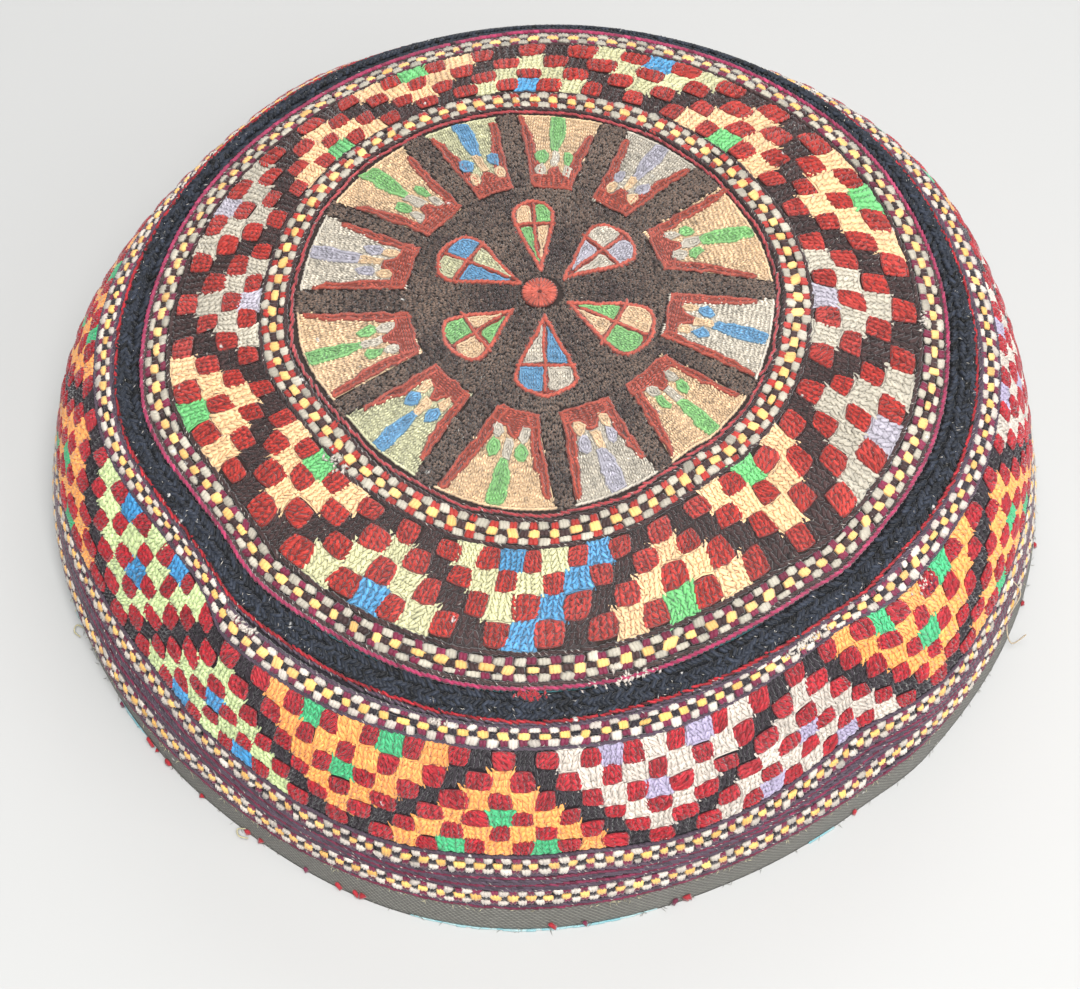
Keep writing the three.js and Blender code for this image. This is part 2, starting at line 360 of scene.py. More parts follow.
def makeFadeGroup():  # sun and wear: paler, greyer thread in patches and near a middle
    group, given, out = startGroup(
        "sunFade", {"Colour": ("colour", (1, 1, 1, 1)), "Reach": ("value", 0.04), "Middle Fade": ("value", 0.3),
                    "Patch Fade": ("value", 0.2), "Mottle And Shade": ("value", 1.0)}, {"Colour": "colour", "Mask": "value"})
    place = addNode(group, "ShaderNodeTexCoord").outputs["Object"]
    flat = addNode(group, "ShaderNodeVectorMath", {0: place, 1: (1, 1, 0)}, operation="MULTIPLY")
    reach = addNode(group, "ShaderNodeVectorMath", {0: flat.outputs[0]}, operation="LENGTH").outputs["Value"]
    share = addNode(group, "ShaderNodeMath", {0: reach, 1: given["Reach"]}, operation="DIVIDE")
    near = addNode(group, "ShaderNodeMapRange", {"Value": share.outputs[0], "From Min": 1.15, "From Max": 0.8})
    middle = addNode(group, "ShaderNodeMath", {0: near.outputs[0], 1: given["Middle Fade"]}, operation="MULTIPLY")
    patches = addNode(group, "ShaderNodeTexNoise", {"Vector": place, "Scale": 55.0, "Detail": 4.0})
    patchMask = addNode(group, "ShaderNodeMapRange", {"Value": patches.outputs["Fac"], "From Min": 0.42,
                                                      "From Max": 0.72})
    patch = addNode(group, "ShaderNodeMath", {0: patchMask.outputs[0], 1: given["Patch Fade"]}, operation="MULTIPLY")
    mask = addNode(group, "ShaderNodeMath", {0: middle.outputs[0], 1: patch.outputs[0]}, operation="ADD",
                   use_clamp=True)
    pale = addNode(group, "ShaderNodeHueSaturation", {"Color": given["Colour"], "Saturation": 0.8, "Value": 1.15})
    faded = addNode(group, "ShaderNodeMix", {"Factor": mask.outputs[0], 6: given["Colour"],
                                             7: pale.outputs["Color"]}, data_type="RGBA")
    # the faded colour is scaled by the fibre mottle, which is in part painted light and shade
    mottledAndShaded = addNode(group, "ShaderNodeVectorMath", {0: faded.outputs[2], "Scale": given["Mottle And Shade"]},
                      operation="SCALE")
    group.links.new(mottledAndShaded.outputs[0], out.inputs["Colour"])
    group.links.new(mask.outputs[0], out.inputs["Mask"])
    return group


def makeLintAndGlintGroup():  # pale flecks mixed into the colour: lint caught in the thread, and painted glints on the thread
    group, given, out = startGroup(
        "lintAndGlintFlecks", {"Colour": ("colour", (1, 1, 1, 1)), "Scale": ("value", 420), "Amount": ("value", 0.5)},
        {"Colour": "colour", "Mask": "value"})
    place = addNode(group, "ShaderNodeTexCoord").outputs["Object"]
    bent = addNode(group, "ShaderNodeTexNoise", {"Vector": place, "Scale": 900.0})
    shift = addNode(group, "ShaderNodeVectorMath", {0: bent.outputs["Color"], "Scale": 0.0012}, operation="SCALE")
    spot = addNode(group, "ShaderNodeVectorMath", {0: place, 1: shift.outputs[0]}, operation="ADD")
    cells = addNode(group, "ShaderNodeTexVoronoi", {"Vector": spot.outputs[0], "Scale": given["Scale"]})
    pick = addNode(group, "ShaderNodeSeparateColor", {"Color": cells.outputs["Color"]})
    chosen = addNode(group, "ShaderNodeMath", {0: pick.outputs[0], 1: given["Amount"]}, operation="LESS_THAN")
    near = addNode(group, "ShaderNodeMapRange", {"Value": cells.outputs["Distance"], "From Min": 0.2,
                                                 "From Max": 0.1})
    mask = addNode(group, "ShaderNodeMath", {0: near.outputs[0], 1: chosen.outputs[0]}, operation="MULTIPLY")
    mixed = addNode(group, "ShaderNodeMix", {"Factor": mask.outputs[0], 6: given["Colour"],
                                             7: (0.62, 0.6, 0.56, 1)}, data_type="RGBA")
    group.links.new(mixed.outputs[2], out.inputs["Colour"])
    group.links.new(mask.outputs[0], out.inputs["Mask"])
    return group


def makeTwillGroup():  # diagonal ribs that go round the cap: a height, and a shade that paints the rib tops lighter and the grooves darker, as painted light and shade
    group, given, out = startGroup(
        "twillWeave", {"Radius": ("value", 0.089), "Rib Width": ("value", 0.0006), "Slant": ("value", 1.0)},
        {"Height": "value", "Shade": "value"})
    place = addNode(group, "ShaderNodeTexCoord").outputs["Object"]
    split = addNode(group, "ShaderNodeSeparateXYZ", {0: place}).outputs
    turn = addNode(group, "ShaderNodeMath", {0: split["Y"], 1: split["X"]}, operation="ARCTAN2")
    way = addNode(group, "ShaderNodeMath", {0: turn.outputs[0], 1: given["Radius"]}, operation="MULTIPLY")
    slanted = addNode(group, "ShaderNodeMath", {0: split["Z"], 1: given["Slant"], 2: way.outputs[0]},
                      operation="MULTIPLY_ADD")

    def ribs(value, scale):
        share = addNode(group, "ShaderNodeMath", {0: value, 1: given["Rib Width"]}, operation="DIVIDE")
        wave = addNode(group, "ShaderNodeMath", {0: share.outputs[0], 1: scale}, operation="MULTIPLY")
        sine = addNode(group, "ShaderNodeMath", {0: wave.outputs[0]}, operation="SINE")
        return addNode(group, "ShaderNodeMath", {0: sine.outputs[0], 1: 0.5, 2: 0.5},
                       operation="MULTIPLY_ADD").outputs[0]
    both = addNode(group, "ShaderNodeMath", {0: ribs(slanted.outputs[0], 2 * math.pi),
                                             1: ribs(split["Z"], 4 * math.pi)}, operation="MULTIPLY")
    group.links.new(both.outputs[0], out.inputs["Height"])
    # painted light and shade: the rib tops lighter, the grooves between them darker
    shade = addNode(group, "ShaderNodeMapRange", {"Value": both.outputs[0], "To Min": 0.55, "To Max": 1.45})
    group.links.new(shade.outputs[0], out.inputs["Shade"])
    return group


fibreGroup, fadeGroup, lintAndGlintGroup, twillGroup = makeFibreGroup(), makeFadeGroup(), makeLintAndGlintGroup(), makeTwillGroup()


def makeFinish(name, colour, roughness, sheen, fibre, bump, fade, lintAndGlint, twill=None):
    # colour is None where the threads bring their own; fade is the middle's and the patches' share
    finish = bpy.data.materials.new(name)
    finish.use_nodes = True
    tree = finish.node_tree
    shader = tree.nodes["Principled BSDF"]
    for key, value in (("Roughness", roughness), ("Sheen Weight", sheen), ("Sheen Roughness", 0.45),
                       ("Specular IOR Level", 0.35)):
        shader.inputs[key].default_value = value
    if colour is None:
        colour = addNode(tree, "ShaderNodeAttribute", attribute_name="threadColour").outputs["Color"]
    else:
        colour = (*colour, 1)
    fuzz = placeGroup(tree, fibreGroup, {"Scale": fibre[0], "Contrast": fibre[1]})
    mottleAndShade, height = fuzz["Mottle And Shade"], fuzz["Height"]
    if twill:
        weave = placeGroup(tree, twillGroup, {"Radius": twill[0], "Rib Width": twill[1], "Slant": twill[2]})
        mottleAndShade = addNode(tree, "ShaderNodeMath", {0: mottleAndShade, 1: weave["Shade"]}, operation="MULTIPLY").outputs[0]
        height = weave["Height"]
    faded = placeGroup(tree, fadeGroup, {"Colour": colour, "Reach": 0.041, "Mottle And Shade": mottleAndShade,
                                         "Middle Fade": fade[0], "Patch Fade": fade[1]})
    flecked = placeGroup(tree, lintAndGlintGroup, {"Colour": faded["Colour"], "Amount": lintAndGlint, "Scale": 430.0})
    tree.links.new(flecked["Colour"], shader.inputs["Base Color"])
    relief = addNode(tree, "ShaderNodeBump", {"Height": height, "Strength": bump[0], "Distance": bump[1]})
    tree.links.new(relief.outputs["Normal"], shader.inputs["Normal"])
    return finish


threadFibre, threadBump = (2600.0, 0.45), (0.5, 0.00008)
crownFinish = makeFinish("fadedCrownThread", None, 0.62, 0.25, threadFibre, threadBump, (0.35, 0.3), 0.02)
sideFinish = makeFinish("brightSideThread", None, 0.55, 0.25, threadFibre, threadBump, (0.0, 0.18), 0.008)
borderFinish = makeFinish("borderThread", None, 0.62, 0.25, threadFibre, threadBump, (0.0, 0.3), 0.04)
braidFinish = makeFinish("blackBraidThread", None, 0.6, 0.1, threadFibre, threadBump, (0.0, 0.1), 0.08)
hemFinish = makeFinish("hemThread", None, 0.7, 0.25, threadFibre, threadBump, (0.0, 0.3), 0.0)
clothFibre, clothBump = (1900.0, 0.9), (0.8, 0.0002)
# The crown and side cloths show only in the gaps between stitches; their dark colour is partly the cloth's own and
# partly painted shade for those gaps.
crownGround = makeFinish("brownCrownCloth", linear(52, 42, 38), 0.92, 0.1, clothFibre, clothBump, (0.2, 0.2), 0.02)
sideGround = makeFinish("charcoalSideCloth", linear(38, 34, 40), 0.92, 0.1, clothFibre, clothBump, (0, 0.2), 0.02)
braidGround = makeFinish("braidCore", linear(22, 24, 30), 0.9, 0.1, clothFibre, clothBump, (0, 0.1), 0.05)
tapeFinish = makeFinish("greyTwillTape", linear(122, 120, 112), 0.88, 0.15, (1500.0, 0.9), (0.8, 0.0003), (0, 0.5),
                        0.06, twill=(0.089, 0.00095, 1.0))
liningFinish = makeFinish("turquoiseLining", linear(112, 184, 192), 0.88, 0.15, (1500.0, 0.5), (0.6, 0.0002),
                          (0, 0.3), 0.02)


# Cloth walls

walls = {"thickness": 1.8, "liningThickness": 1.0, "seamGap": 0.3, "stitchDepth": 0.25}


def clothShell(name, finish, replaces, first, last, lift, depth, rows, turns=240, levelFoot=False, archRise=0.0,
               eased=0):
    # a closed wall between two places; its outer face lies lift above the cap's surface, and its inner face is
    # eased at tight bends
    places = np.linspace(first, last, rows)
    angles = np.arange(turns) * 360 / turns
    shape = onCap(angles[None, :], places[:, None])
    point, normal = shape[..., :3], shape[..., 3:6].copy()
    if levelFoot:
        share = np.clip((places - (last - 0.2)) / 0.2, 0, 1)[:, None, None]
        turn = np.radians(angles)
        normal = normal * (1 - share) + np.stack([np.cos(turn), np.sin(turn), 0 * turn], -1)[None] * share
    arch = archRise * np.sin(np.pi * np.linspace(0, 1, rows))[:, None, None]
    outer, inner = point + normal * (lift + arch) * mm, point - normal * depth * mm
    for _ in range(eased):
        inner[1:-1] = (inner[:-2] + 2 * inner[1:-1] + inner[2:]) / 4
    points = np.concatenate([outer, inner[::-1]])
    rings = len(points)
    ring, here = np.meshgrid(np.arange(rings), np.arange(turns), indexing="ij")
    beside, below = (here + 1) % turns, (ring + 1) % rings
    faces = np.stack([ring * turns + here, below * turns + here, below * turns + beside, ring * turns + beside], -1)
    mesh = bpy.data.meshes.new(name)
    mesh.from_pydata(points.reshape(-1, 3).tolist(), [], faces.reshape(-1, 4).tolist())
    mesh.polygons.foreach_set("use_smooth", np.ones(len(mesh.polygons), bool))
    mesh.update()
    return addPiece(name, mesh, finish, replaces)


clothShell("crown_cloth", crownGround, ["crown_panel"], 0.002, rim - 0.02,
           -walls["stitchDepth"], walls["thickness"], 34)
clothShell("braid_core", braidGround, ["rim_braid"], rim + 0.03, shoulder - 0.03,
           -walls["stitchDepth"], walls["thickness"], 10, archRise=0.6)
clothShell("side_cloth", sideGround, ["side_panel"], shoulder + 0.03, borderFoot - 0.03,
           -walls["stitchDepth"], walls["thickness"], 34)
clothShell("hem_tape_cloth", tapeFinish, ["hem_tape"], borderFoot + 0.02, hem, 0,
           walls["thickness"], 8, turns=360, levelFoot=True)
liningTop = walls["thickness"] + walls["seamGap"]
clothShell("lining_cloth", liningFinish, ["lining"], 0.002, hem - 0.19, -liningTop,
           liningTop + walls["liningThickness"], 40, eased=6)
print("cloth walls ready")


# The rings of checked triangles

crownRing = {
    "inner": {0: 45.2, 45: 45.3, 90: 45.8, 120: 46, 150: 47.2, 180: 46.7, 220: 46, 265: 45.2, 290: 45.5,
              320: 43.9, 345: 44.8},
    "outer": {0: 61.2, 60: 61, 90: 60.6, 130: 60.6, 160: 61, 220: 61, 265: 60.6, 290: 60.6, 325: 61},
    "lean": 1.7,  # degrees, the innermost row ahead of the outermost
    "rows": 4, "columns": 4, "stitches": 4, "wander": (0.07, 37, 29),
    # middle angle, way it points, pale and accent thread, longest row
    "triangles": [(1, "down", "WV", 7), (24, "up", "PG", 7), (47, "down", "PG", 7), (69, "up", "LB", 7),
                  (92, "down", "LB", 7), (114, "up", "PG", 7), (135.3, "down", "PG", 7), (157, "up", "WV", 7),
                  (177.5, "down", "WV", 7), (198.5, "up", "PG", 7), (220, "down", "PG", 7), (242.7, "up", "LB", 7),
                  (266.5, "down", "LB", 9), (291, "up", "PG", 7), (313, "down", "PG", 7), (337, "up", "WV", 7)],
}
oddRows = ["RCRARCRAR", "RCRCRAR", "RCRAR", "RAR"]  # the one triangle with longer rows and more blue


def triangleRows(way, longest, rows):  # the cells of a triangle, from the crown's middle outwards
    if longest == 9:
        return oddRows
    lines = []
    for row in range(1, rows + 1):
        line = ""
        for cell in range(1 - row, row):
            accent = (row, abs(cell)) in ((4, 0), (6, 2))
            line += "R" if (row + cell) % 2 else ("A" if accent else "C")
        lines.append(line)
    return lines if way == "up" else lines[::-1]


def chartRing(ring):  # every cell as (row, cell number, thread), and the angle of each cell number
    triangles, rows = ring["triangles"], ring["rows"]
    anchors, position, cells = [], 0.0, []

    def step(one, other):
        return rows + 1 + (9 in (one, other))
    for index, (middle, way, threads, longest) in enumerate(triangles):
        if index:
            position += step(triangles[index - 1][3], longest)
        anchors.append((position, middle))
        for row, line in enumerate(triangleRows(way, longest, rows)):
            reach = (len(line) - 1) / 2
            for number, mark in enumerate(line):
                cells.append((row, position - reach + number, {"C": threads[0], "A": threads[1]}.get(mark, mark)))
            cells.append((row, position + reach + 1, "K"))
    total = position + step(triangles[-1][3], triangles[0][3])
    numbers, middles = np.array(anchors).T
    numbers = np.r_[numbers - total, numbers, numbers + total]
    middles = np.r_[middles - 360, middles, middles + 360]
    ring["angleOf"] = lambda cell: np.interp(cell, numbers, middles)
    return cells


def handMade(ring, cell, row):  # the chart wanders a little, as it was stitched by hand
    amount, first, second = ring["wander"]
    turn = np.radians(ring["angleOf"](cell))
    inside = np.sin(math.pi * np.clip(row / ring["rows"], 0, 1)) ** 0.5
    return (cell + amount * np.sin(first * turn + 2.3 * row),
            row + amount * inside * np.sin(second * turn - 1.9 * row))


def stitchCells(work, pads, cells, place, palette, ring, look):
    # place(cell, row) gives angle and place; a cell is a pad under columns of V-shaped stitches and an edge thread
    rows, numbers, codes = (np.array(part) for part in zip(*cells))
    rows, numbers = rows.astype(float), numbers.astype(float)
    columns, stitches = ring["columns"], ring["stitches"]
    for code in sorted(set(codes)):
        style = {**look["all"], **look.get(code, look["pale"])}
        picked = codes == code
        count = picked.sum()
        shape = (count, 1, 1, 1)
        number = numbers[picked].reshape(shape) + dice.normal(0, 0.03, shape)
        row = rows[picked].reshape(shape) + 0.5 + dice.normal(0, 0.03, shape)
        wide = style["width"] * (1 + dice.normal(0, style["vary"], shape))
        tall = style["height"] * (1 + dice.normal(0, style["vary"], shape))
        shear = dice.normal(0, 0.06, shape)

        def spots(u, v, lift=0.0):
            uu = u * (wide + style["bow"] * v ** 2) + shear * v
            vv = v * (tall + style["bow"] * u ** 2)
            bulge = (1 - 0.7 * np.clip(np.abs(u), 0, 1) ** 2.5) * (1 - 0.7 * np.clip(np.abs(v), 0, 1) ** 2.5)
            spot = onCap(*place(number + uu * 0.5, row + vv * 0.5))
            rise = (style["lift"] + lift + style["bulge"] * bulge) * mm
            return spot[..., :3] + spot[..., 3:6] * rise[..., None], spot[..., 3:6]
        tone = palette[code] * (1 + dice.normal(0, 0.06, (count, 1)))
        edge = np.linspace(-1, 1, 5) * style["pad"]
        padPoints = spots(edge[None, None, :, None], edge[None, :, None, None], 0.02)[0]
        # the pad is the cell's thread colour darkened by the look's shade: painted shade in the gaps between the
        # stitches
        pads.add(padPoints[..., 0, :], tone * style["shade"])
        u = (((np.arange(columns) + 0.5) / columns * 2 - 1) * 0.95)[None, :, None, None]
        u = u + dice.normal(0, 0.03, (count, columns, 1, 1))
        pitch = 2 / stitches
        v = (-1 + pitch * (np.arange(stitches) + 0.5))[None, None, :, None]
        v = v + (dice.normal(0, 0.2, (count, columns, 1, 1)) + dice.normal(0, 0.1, (count, columns, stitches, 1))) * pitch
        turned = np.where(dice.random((count, columns, 1, 1)) < 0.5, 1, -1)
        step = turned * np.array([-1, -1, 1, 1]) * style["reach"] * pitch / 2
        ends = np.clip(v + step, -1.02, 1.02)
        sway = np.array([-0.12, 0.12, -1, 1]) * style["open"] / columns
        tilt = dice.normal(0, style["tilt"], shape) + dice.normal(0, 0.18, (count, columns, stitches, 1))
        points, normals = spots(np.clip(u + sway + tilt * step, -1.04, 1.04), ends)
        left, right = spots(np.array(-1.0), v)[0], spots(np.array(1.0), v)[0]
        width = np.linalg.norm(right - left, axis=-1) / columns
        width = np.broadcast_to(width, (count, columns, stitches, 1)).reshape(-1)
        points, normals = points.reshape(-1, 4, 3), normals.reshape(-1, 4, 3)
        colour = np.repeat(tone, columns * stitches, 0)
        for hand in (0, 1):
            shade = colour * (1 + dice.normal(0, style["spread"], (len(colour), 1)))
            work.lay(points[:, hand], points[:, hand + 2], normals[:, hand], width * style["thick"],
                     style["rise"] * mm, shade, blunt=style["blunt"], low=0.08 * mm, tip=0.6)
        if style["edge"]:
            corner = np.array([(-1, -1), (0, -1), (1, -1), (1, 0), (1, 1), (0, 1), (-1, 1), (-1, 0)]) * style["edge"]
            for one, other in zip(corner, np.roll(corner, -1, 0)):
                one, other = one * 1.1 - other * 0.1, other * 1.1 - one * 0.1
                ends, normals = spots(np.array([one[0], other[0]]), np.array([one[1], other[1]]), 0.06)
                shade = tone * (1 + dice.normal(0, 0.08, (count, 1)))
                work.lay(ends[:, 0, 0, 0], ends[:, 0, 0, 1], normals[:, 0, 0, 0], 0.24 * mm, 0.3 * mm, shade,
                         low=0.05 * mm)


# In each look, shade darkens the cell's pad as painted shade in the gaps between the stitches.
cellLook = {
    "all": {"tilt": 0.16, "spread": 0.12, "blunt": 0.22, "thick": 0.32, "open": 1.3, "reach": 1.3, "rise": 0.42,
            "vary": 0.03, "edge": 0.92},
    "R": {"width": 0.97, "height": 0.95, "bow": -0.1, "lift": 0.1, "bulge": 0.24, "vary": 0.06, "shade": 0.5,
          "pad": 1.04, "tilt": 0.35, "spread": 0.22},
    "K": {"width": 1.0, "height": 1.0, "bow": 0.14, "lift": -0.15, "bulge": 0.0, "shade": 0.6, "pad": 1.16,
          "edge": 0, "spread": 0.25},
    "B": {"width": 1.0, "height": 1.0, "bow": 0.2, "lift": 0.0, "bulge": 0.06, "shade": 0.55, "pad": 1.15,
          "spread": 0.18},
    "pale": {"width": 1.0, "height": 1.0, "bow": 0.2, "lift": 0.0, "bulge": 0.06, "shade": 0.9, "pad": 1.15,
             "spread": 0.09},
}


def crownCellPlace(cell, row):
    cell, row = handMade(crownRing, cell, row)
    angle = crownRing["angleOf"](cell) + crownRing["lean"] * (1 - row / crownRing["rows"])
    inner, outer = around(crownRing["inner"], angle), around(crownRing["outer"], angle)
    return angle, crownPlace(inner + (outer - inner) * row / crownRing["rows"])


crownCells = chartRing(crownRing)
crownTriangles, crownPads = ThreadWork(), PadWork()
stitchCells(crownTriangles, crownPads, crownCells, crownCellPlace, crownThread, crownRing, cellLook)
crownTriangles.build("crown_triangles", "crown_embroidery", crownFinish)

wallRing = {
    "rowsDown": [4.8, 8.9, 12.3, 15.7, 19.1, 22.5, 25.7],
    "top": {0: 0, 180: 0, 205: 0, 218: 0, 224: -0.9, 230: 0.8, 245: 1.1, 255: 0.3, 270: -0.1, 280: -0.1, 290: 0.2,
            300: 0.3, 307: -0.1, 313: -1.2, 320: -0.2, 330: -0.3, 345: 0},
    "foot": {0: 0.4, 180: 0, 205: -0.1, 215: 0.1, 225: -1.6, 232: -0.6, 238: 0.5, 243: 1.4, 250: 1.7, 255: 1.6,
             260: 0.8, 265: 0.2, 270: -0.1, 275: -0.6, 280: 0.1, 285: 0.9, 290: 1.4, 295: 1.6, 300: 1.3, 305: 0.6,
             310: -0.1, 314: -0.6, 317: 0, 320: 1.6, 325: 2.2, 330: 1.8, 335: 0.8, 345: 0.4},
    "rows": 6, "columns": 4, "stitches": 3, "wander": (0.08, 61, 43),
    "triangles": [(174, "down", "OG", 11), (191.7, "up", "OG", 11), (212.2, "down", "LB", 11),
                  (230.4, "up", "LB", 11), (247.4, "down", "OG", 11), (265.3, "up", "OG", 11),
                  (282.6, "down", "WV", 11), (301.5, "up", "WV", 11), (319.6, "down", "OG", 11),
                  (339.8, "up", "OG", 11), (357, "down", "WV", 11), (374.7, "up", "WV", 11),
                  (392.4, "down", "OG", 11), (410.1, "up", "OG", 11), (427.8, "down", "LB", 11),
                  (445.5, "up", "LB", 11), (463.2, "down", "OG", 11), (480.9, "up", "OG", 11),
                  (498.6, "down", "WV", 11), (516.3, "up", "WV", 11)],
}


def wallCellPlace(cell, row):
    cell, row = handMade(wallRing, cell, row)
    angle = wallRing["angleOf"](cell)
    base = np.interp(row, range(len(wallRing["rowsDown"])), wallRing["rowsDown"])
    share = np.clip(row / wallRing["rows"], 0, 1)
    wave = around(wallRing["top"], angle) * (1 - share) + around(wallRing["foot"], angle) * share
    return angle, wallPlace(base + wave)


wallCells = chartRing(wallRing)
wallPads = PadWork()
for side in ("front", "back"):
    work = ThreadWork()
    chosen = [cell for cell in wallCells if (wallRing["angleOf"](cell[1]) % 360 >= 180) == (side == "front")]
    stitchCells(work, wallPads, chosen, wallCellPlace, sideThread, wallRing, cellLook)
    work.build("side_triangles_" + side, "side_embroidery", sideFinish)
wallPads.build("side_pads", "side_embroidery", sideFinish)
print("triangles ready")


# Lines and checker borders, which go all round

def stitchLine(work, placeOf, step, width, rise, colour, lift=0.0, sway=0.06, spread=0.1, flecks=0.0, lean=0.24):
    # a rope of overlapping slanted stitches all round, with a share of pale flecks; placeOf gives the place
    rough = onCap(np.arange(0, 360, 2.0), placeOf(np.arange(0, 360, 2.0)))[:, :3]
    count = int(np.linalg.norm(rough - np.roll(rough, 1, 0), axis=1).sum() / (step * mm))
    angle = np.arange(count) * 360 / count

    def tip(part, side, rise):
        turned = angle + part * 360 / count
        spot = onCap(turned, placeOf(turned))
        return (spot[:, :3] + spot[:, 9:12] * ((side * width + dice.normal(0, sway, (count, 1))) * mm)
                + spot[:, 3:6] * (lift + rise) * mm)
    normal = onCap(angle, placeOf(angle))[:, 3:6]
    tone = colour * (1 + dice.normal(0, spread, (count, 1)))
    work.lay(tip(-0.45, -lean, 0), tip(1.45, lean, 0), normal, width * 0.37 * mm, rise * mm, tone, blunt=0.2,
             low=0.06 * mm, tip=0.6)
    picked = dice.random(count) < flecks
    if picked.any():
        tail, head = tip(0.1, -0.3, rise * 0.7), tip(0.9, 0.3, rise * 0.7)
        pale = linear(206, 198, 188) * dice.uniform(0.5, 1.05, (picked.sum(), 1))
        work.lay(tail[picked], head[picked], normal[picked], 0.09 * mm, 0.14 * mm, pale)


def stitchChecker(work, placeOf, periods, rowStep, palette, rows, rise, lift=0.0, crowd=0.0):
    # rows of plump bits, each of a few short stitches side by side; placeOf(angle, way out) gives the place,
    # and crowd draws the bits together at the front
    for row, pair in enumerate(rows):
        for shift, code in enumerate(pair):
            plump = code in "WY"
            strands = 3 if plump else 2
            angle = (np.arange(periods) + shift * 0.5 + dice.normal(0, 0.04, periods)) * 360 / periods
            wide = 360 / periods * (0.59 if plump else 0.54) * (1 + dice.normal(0, 0.13, periods))
            angle = angle - crowd * np.sin(np.radians(angle - 252))
            offset = (row - 1) * rowStep + dice.normal(0, 0.1, periods)
            half = rowStep * (0.66 if code == "Y" else 0.57) * (1 + dice.normal(0, 0.13, periods))
            lean = dice.normal(0, 0.1, periods) * wide
            tone = palette[code] * (0.86 if code == "W" else 1) * (1 + dice.normal(0, 0.12, (periods, 1)))
            for part in (np.arange(strands) + 0.5) / strands - 0.5:
                reach = half * (1 - 0.3 * abs(part)) * (1 + dice.normal(0, 0.08, periods))
                tips = []
                for side in (-1, 1):
                    turned = angle + part * wide * 0.72 + side * lean
                    spot = onCap(turned, placeOf(turned, offset + side * reach))
                    up = lift + (0.14 if plump else 0.0) - 0.2 * abs(part)
                    tips.append(spot[:, :3] + spot[:, 3:6] * up * mm)
                normal = onCap(angle, placeOf(angle, offset))
                girth = np.radians(wide) * np.linalg.norm(normal[:, :2], axis=1) * (0.3 if plump else 0.37)
                work.lay(tips[0], tips[1], normal[:, 3:6], girth, rise * mm,
                         tone * (1 + dice.normal(0, 0.06, (periods, 1))), blunt=0.15, low=0.02 * mm, tip=0.85)


checkerRows = ["WM", "KY", "WM"]
crownBorder = {
    "innerPeriods": 84, "outerPeriods": 112, "rowStep": 1.22,
    "innerLine": 5.3, "innerDark": 4.45, "innerMiddle": 2.55, "innerFoot": 0.5,  # inside the ring's inner edge
    "outerDark": 0.45, "outerMiddle": 2.75, "outerFoot": 5.0,  # outside its outer edge
    "magentaRadius": 66.6,
}


def innerEdge(angle):
    return around(crownRing["inner"], angle)


def outerEdge(angle):
    return around(crownRing["outer"], angle)


border = ThreadWork()
for back, code, width, flecks in ((crownBorder["innerLine"], "S", 0.8, 0.1), (crownBorder["innerDark"], "K", 1.1, 0.4),
                                  (crownBorder["innerFoot"], "K", 1.0, 0.3)):
    stitchLine(border, lambda a, back=back: crownPlace(innerEdge(a) - back + 0.12 * np.sin(np.radians(a) * 19)), 1.0,
               width, 0.36, crownThread[code], sway=0.14, spread=0.2, flecks=flecks)
stitchChecker(border, lambda a, off: crownPlace(innerEdge(a) - crownBorder["innerMiddle"] + off),
              crownBorder["innerPeriods"], crownBorder["rowStep"], crownThread, ["WR", "KY", "WR"], 0.42)
for out, code in ((crownBorder["outerDark"], "K"), (crownBorder["outerFoot"], "D")):
    stitchLine(border, lambda a, out=out: crownPlace(outerEdge(a) + out), 1.0, 1.1, 0.34, crownThread[code],
               sway=0.14, spread=0.2, flecks=0.35)
stitchChecker(border, lambda a, off: crownPlace(outerEdge(a) + crownBorder["outerMiddle"] + off),
              crownBorder["outerPeriods"], crownBorder["rowStep"], crownThread, checkerRows, 0.42)
stitchLine(border, lambda a: crownPlace(crownBorder["magentaRadius"] + 0.15 * np.sin(np.radians(a) * 13)), 1.0, 1.05,
           0.55, crownThread["M"] * 1.8, 0.15, spread=0.25, flecks=0.06)
border.build("crown_borders", "crown_embroidery", borderFinish)


# Crown: the wheel, drawn in millimetres on the crown's plan

wheel = {
    "rosetteMiddle": (-0.75, 0.0), "rosetteRadius": 3.1, "rosetteStitches": 17,
    "plainRadius": 20.0, "edge": 39.1, "edgeBack": 6.1,  # the outer part stretches to the ring's wavy edge
    "groundStep": 0.68, "groundWidth": 0.74, "columnStep": 0.78, "stitchStep": 0.86,
    # share of a petal's length, share of its half width
    "petalWidths": [(0, 0.02), (0.08, 0.16), (0.3, 0.46), (0.5, 0.74), (0.68, 0.95), (0.8, 1.0), (0.9, 0.84),
                    (0.97, 0.5), (1, 0.2)],
    # middle angle, inner and outer radius, half width, radius of the cross, then the four threads:
    # inner on the low-angle side, inner on the high-angle side, outer low, outer high
    "petals": [(42, 4.4, 18.6, 5.3, 13.0, "WVVW"), (96.5, 4.6, 19.8, 3.9, 14.4, "PGGP"),
               (153, 4.4, 19.4, 5.4, 14.2, "LBBL"), (215, 6.2, 19.0, 5.2, 13.6, "PGGP"),
               (271, 4.8, 20.2, 5.4, 14.4, "WBBW"), (333, 4.4, 19.6, 5.6, 12.9, "PGGP")],
    # angles of the inner corners and of the outer corners, inner radius, pale, accent and small pale threads
    "panels": [(14.5, 38, 6, 39, 20.8, "PGW"), (49, 68, 47, 68, 21.3, "WVP"), (78, 95, 75, 97, 22.3, "PGW"),
               (103.5, 119, 102, 121, 22.6, "LBP"), (127, 148.5, 127, 150, 22.2, "PGW"),
               (155, 177.5, 154, 177, 22.4, "WVP"), (189, 211, 183, 211, 22.4, "PGW"),
               (218.5, 240, 216, 239, 22.4, "LBP"), (251, 268, 244, 273, 22.9, "PGW"),
               (276, 296.5, 277, 298, 22.6, "WVP"), (306, 329, 302, 330, 22.4, "PGW"),
               (336, 361, 335.5, 361, 20.6, "WBP")],
}


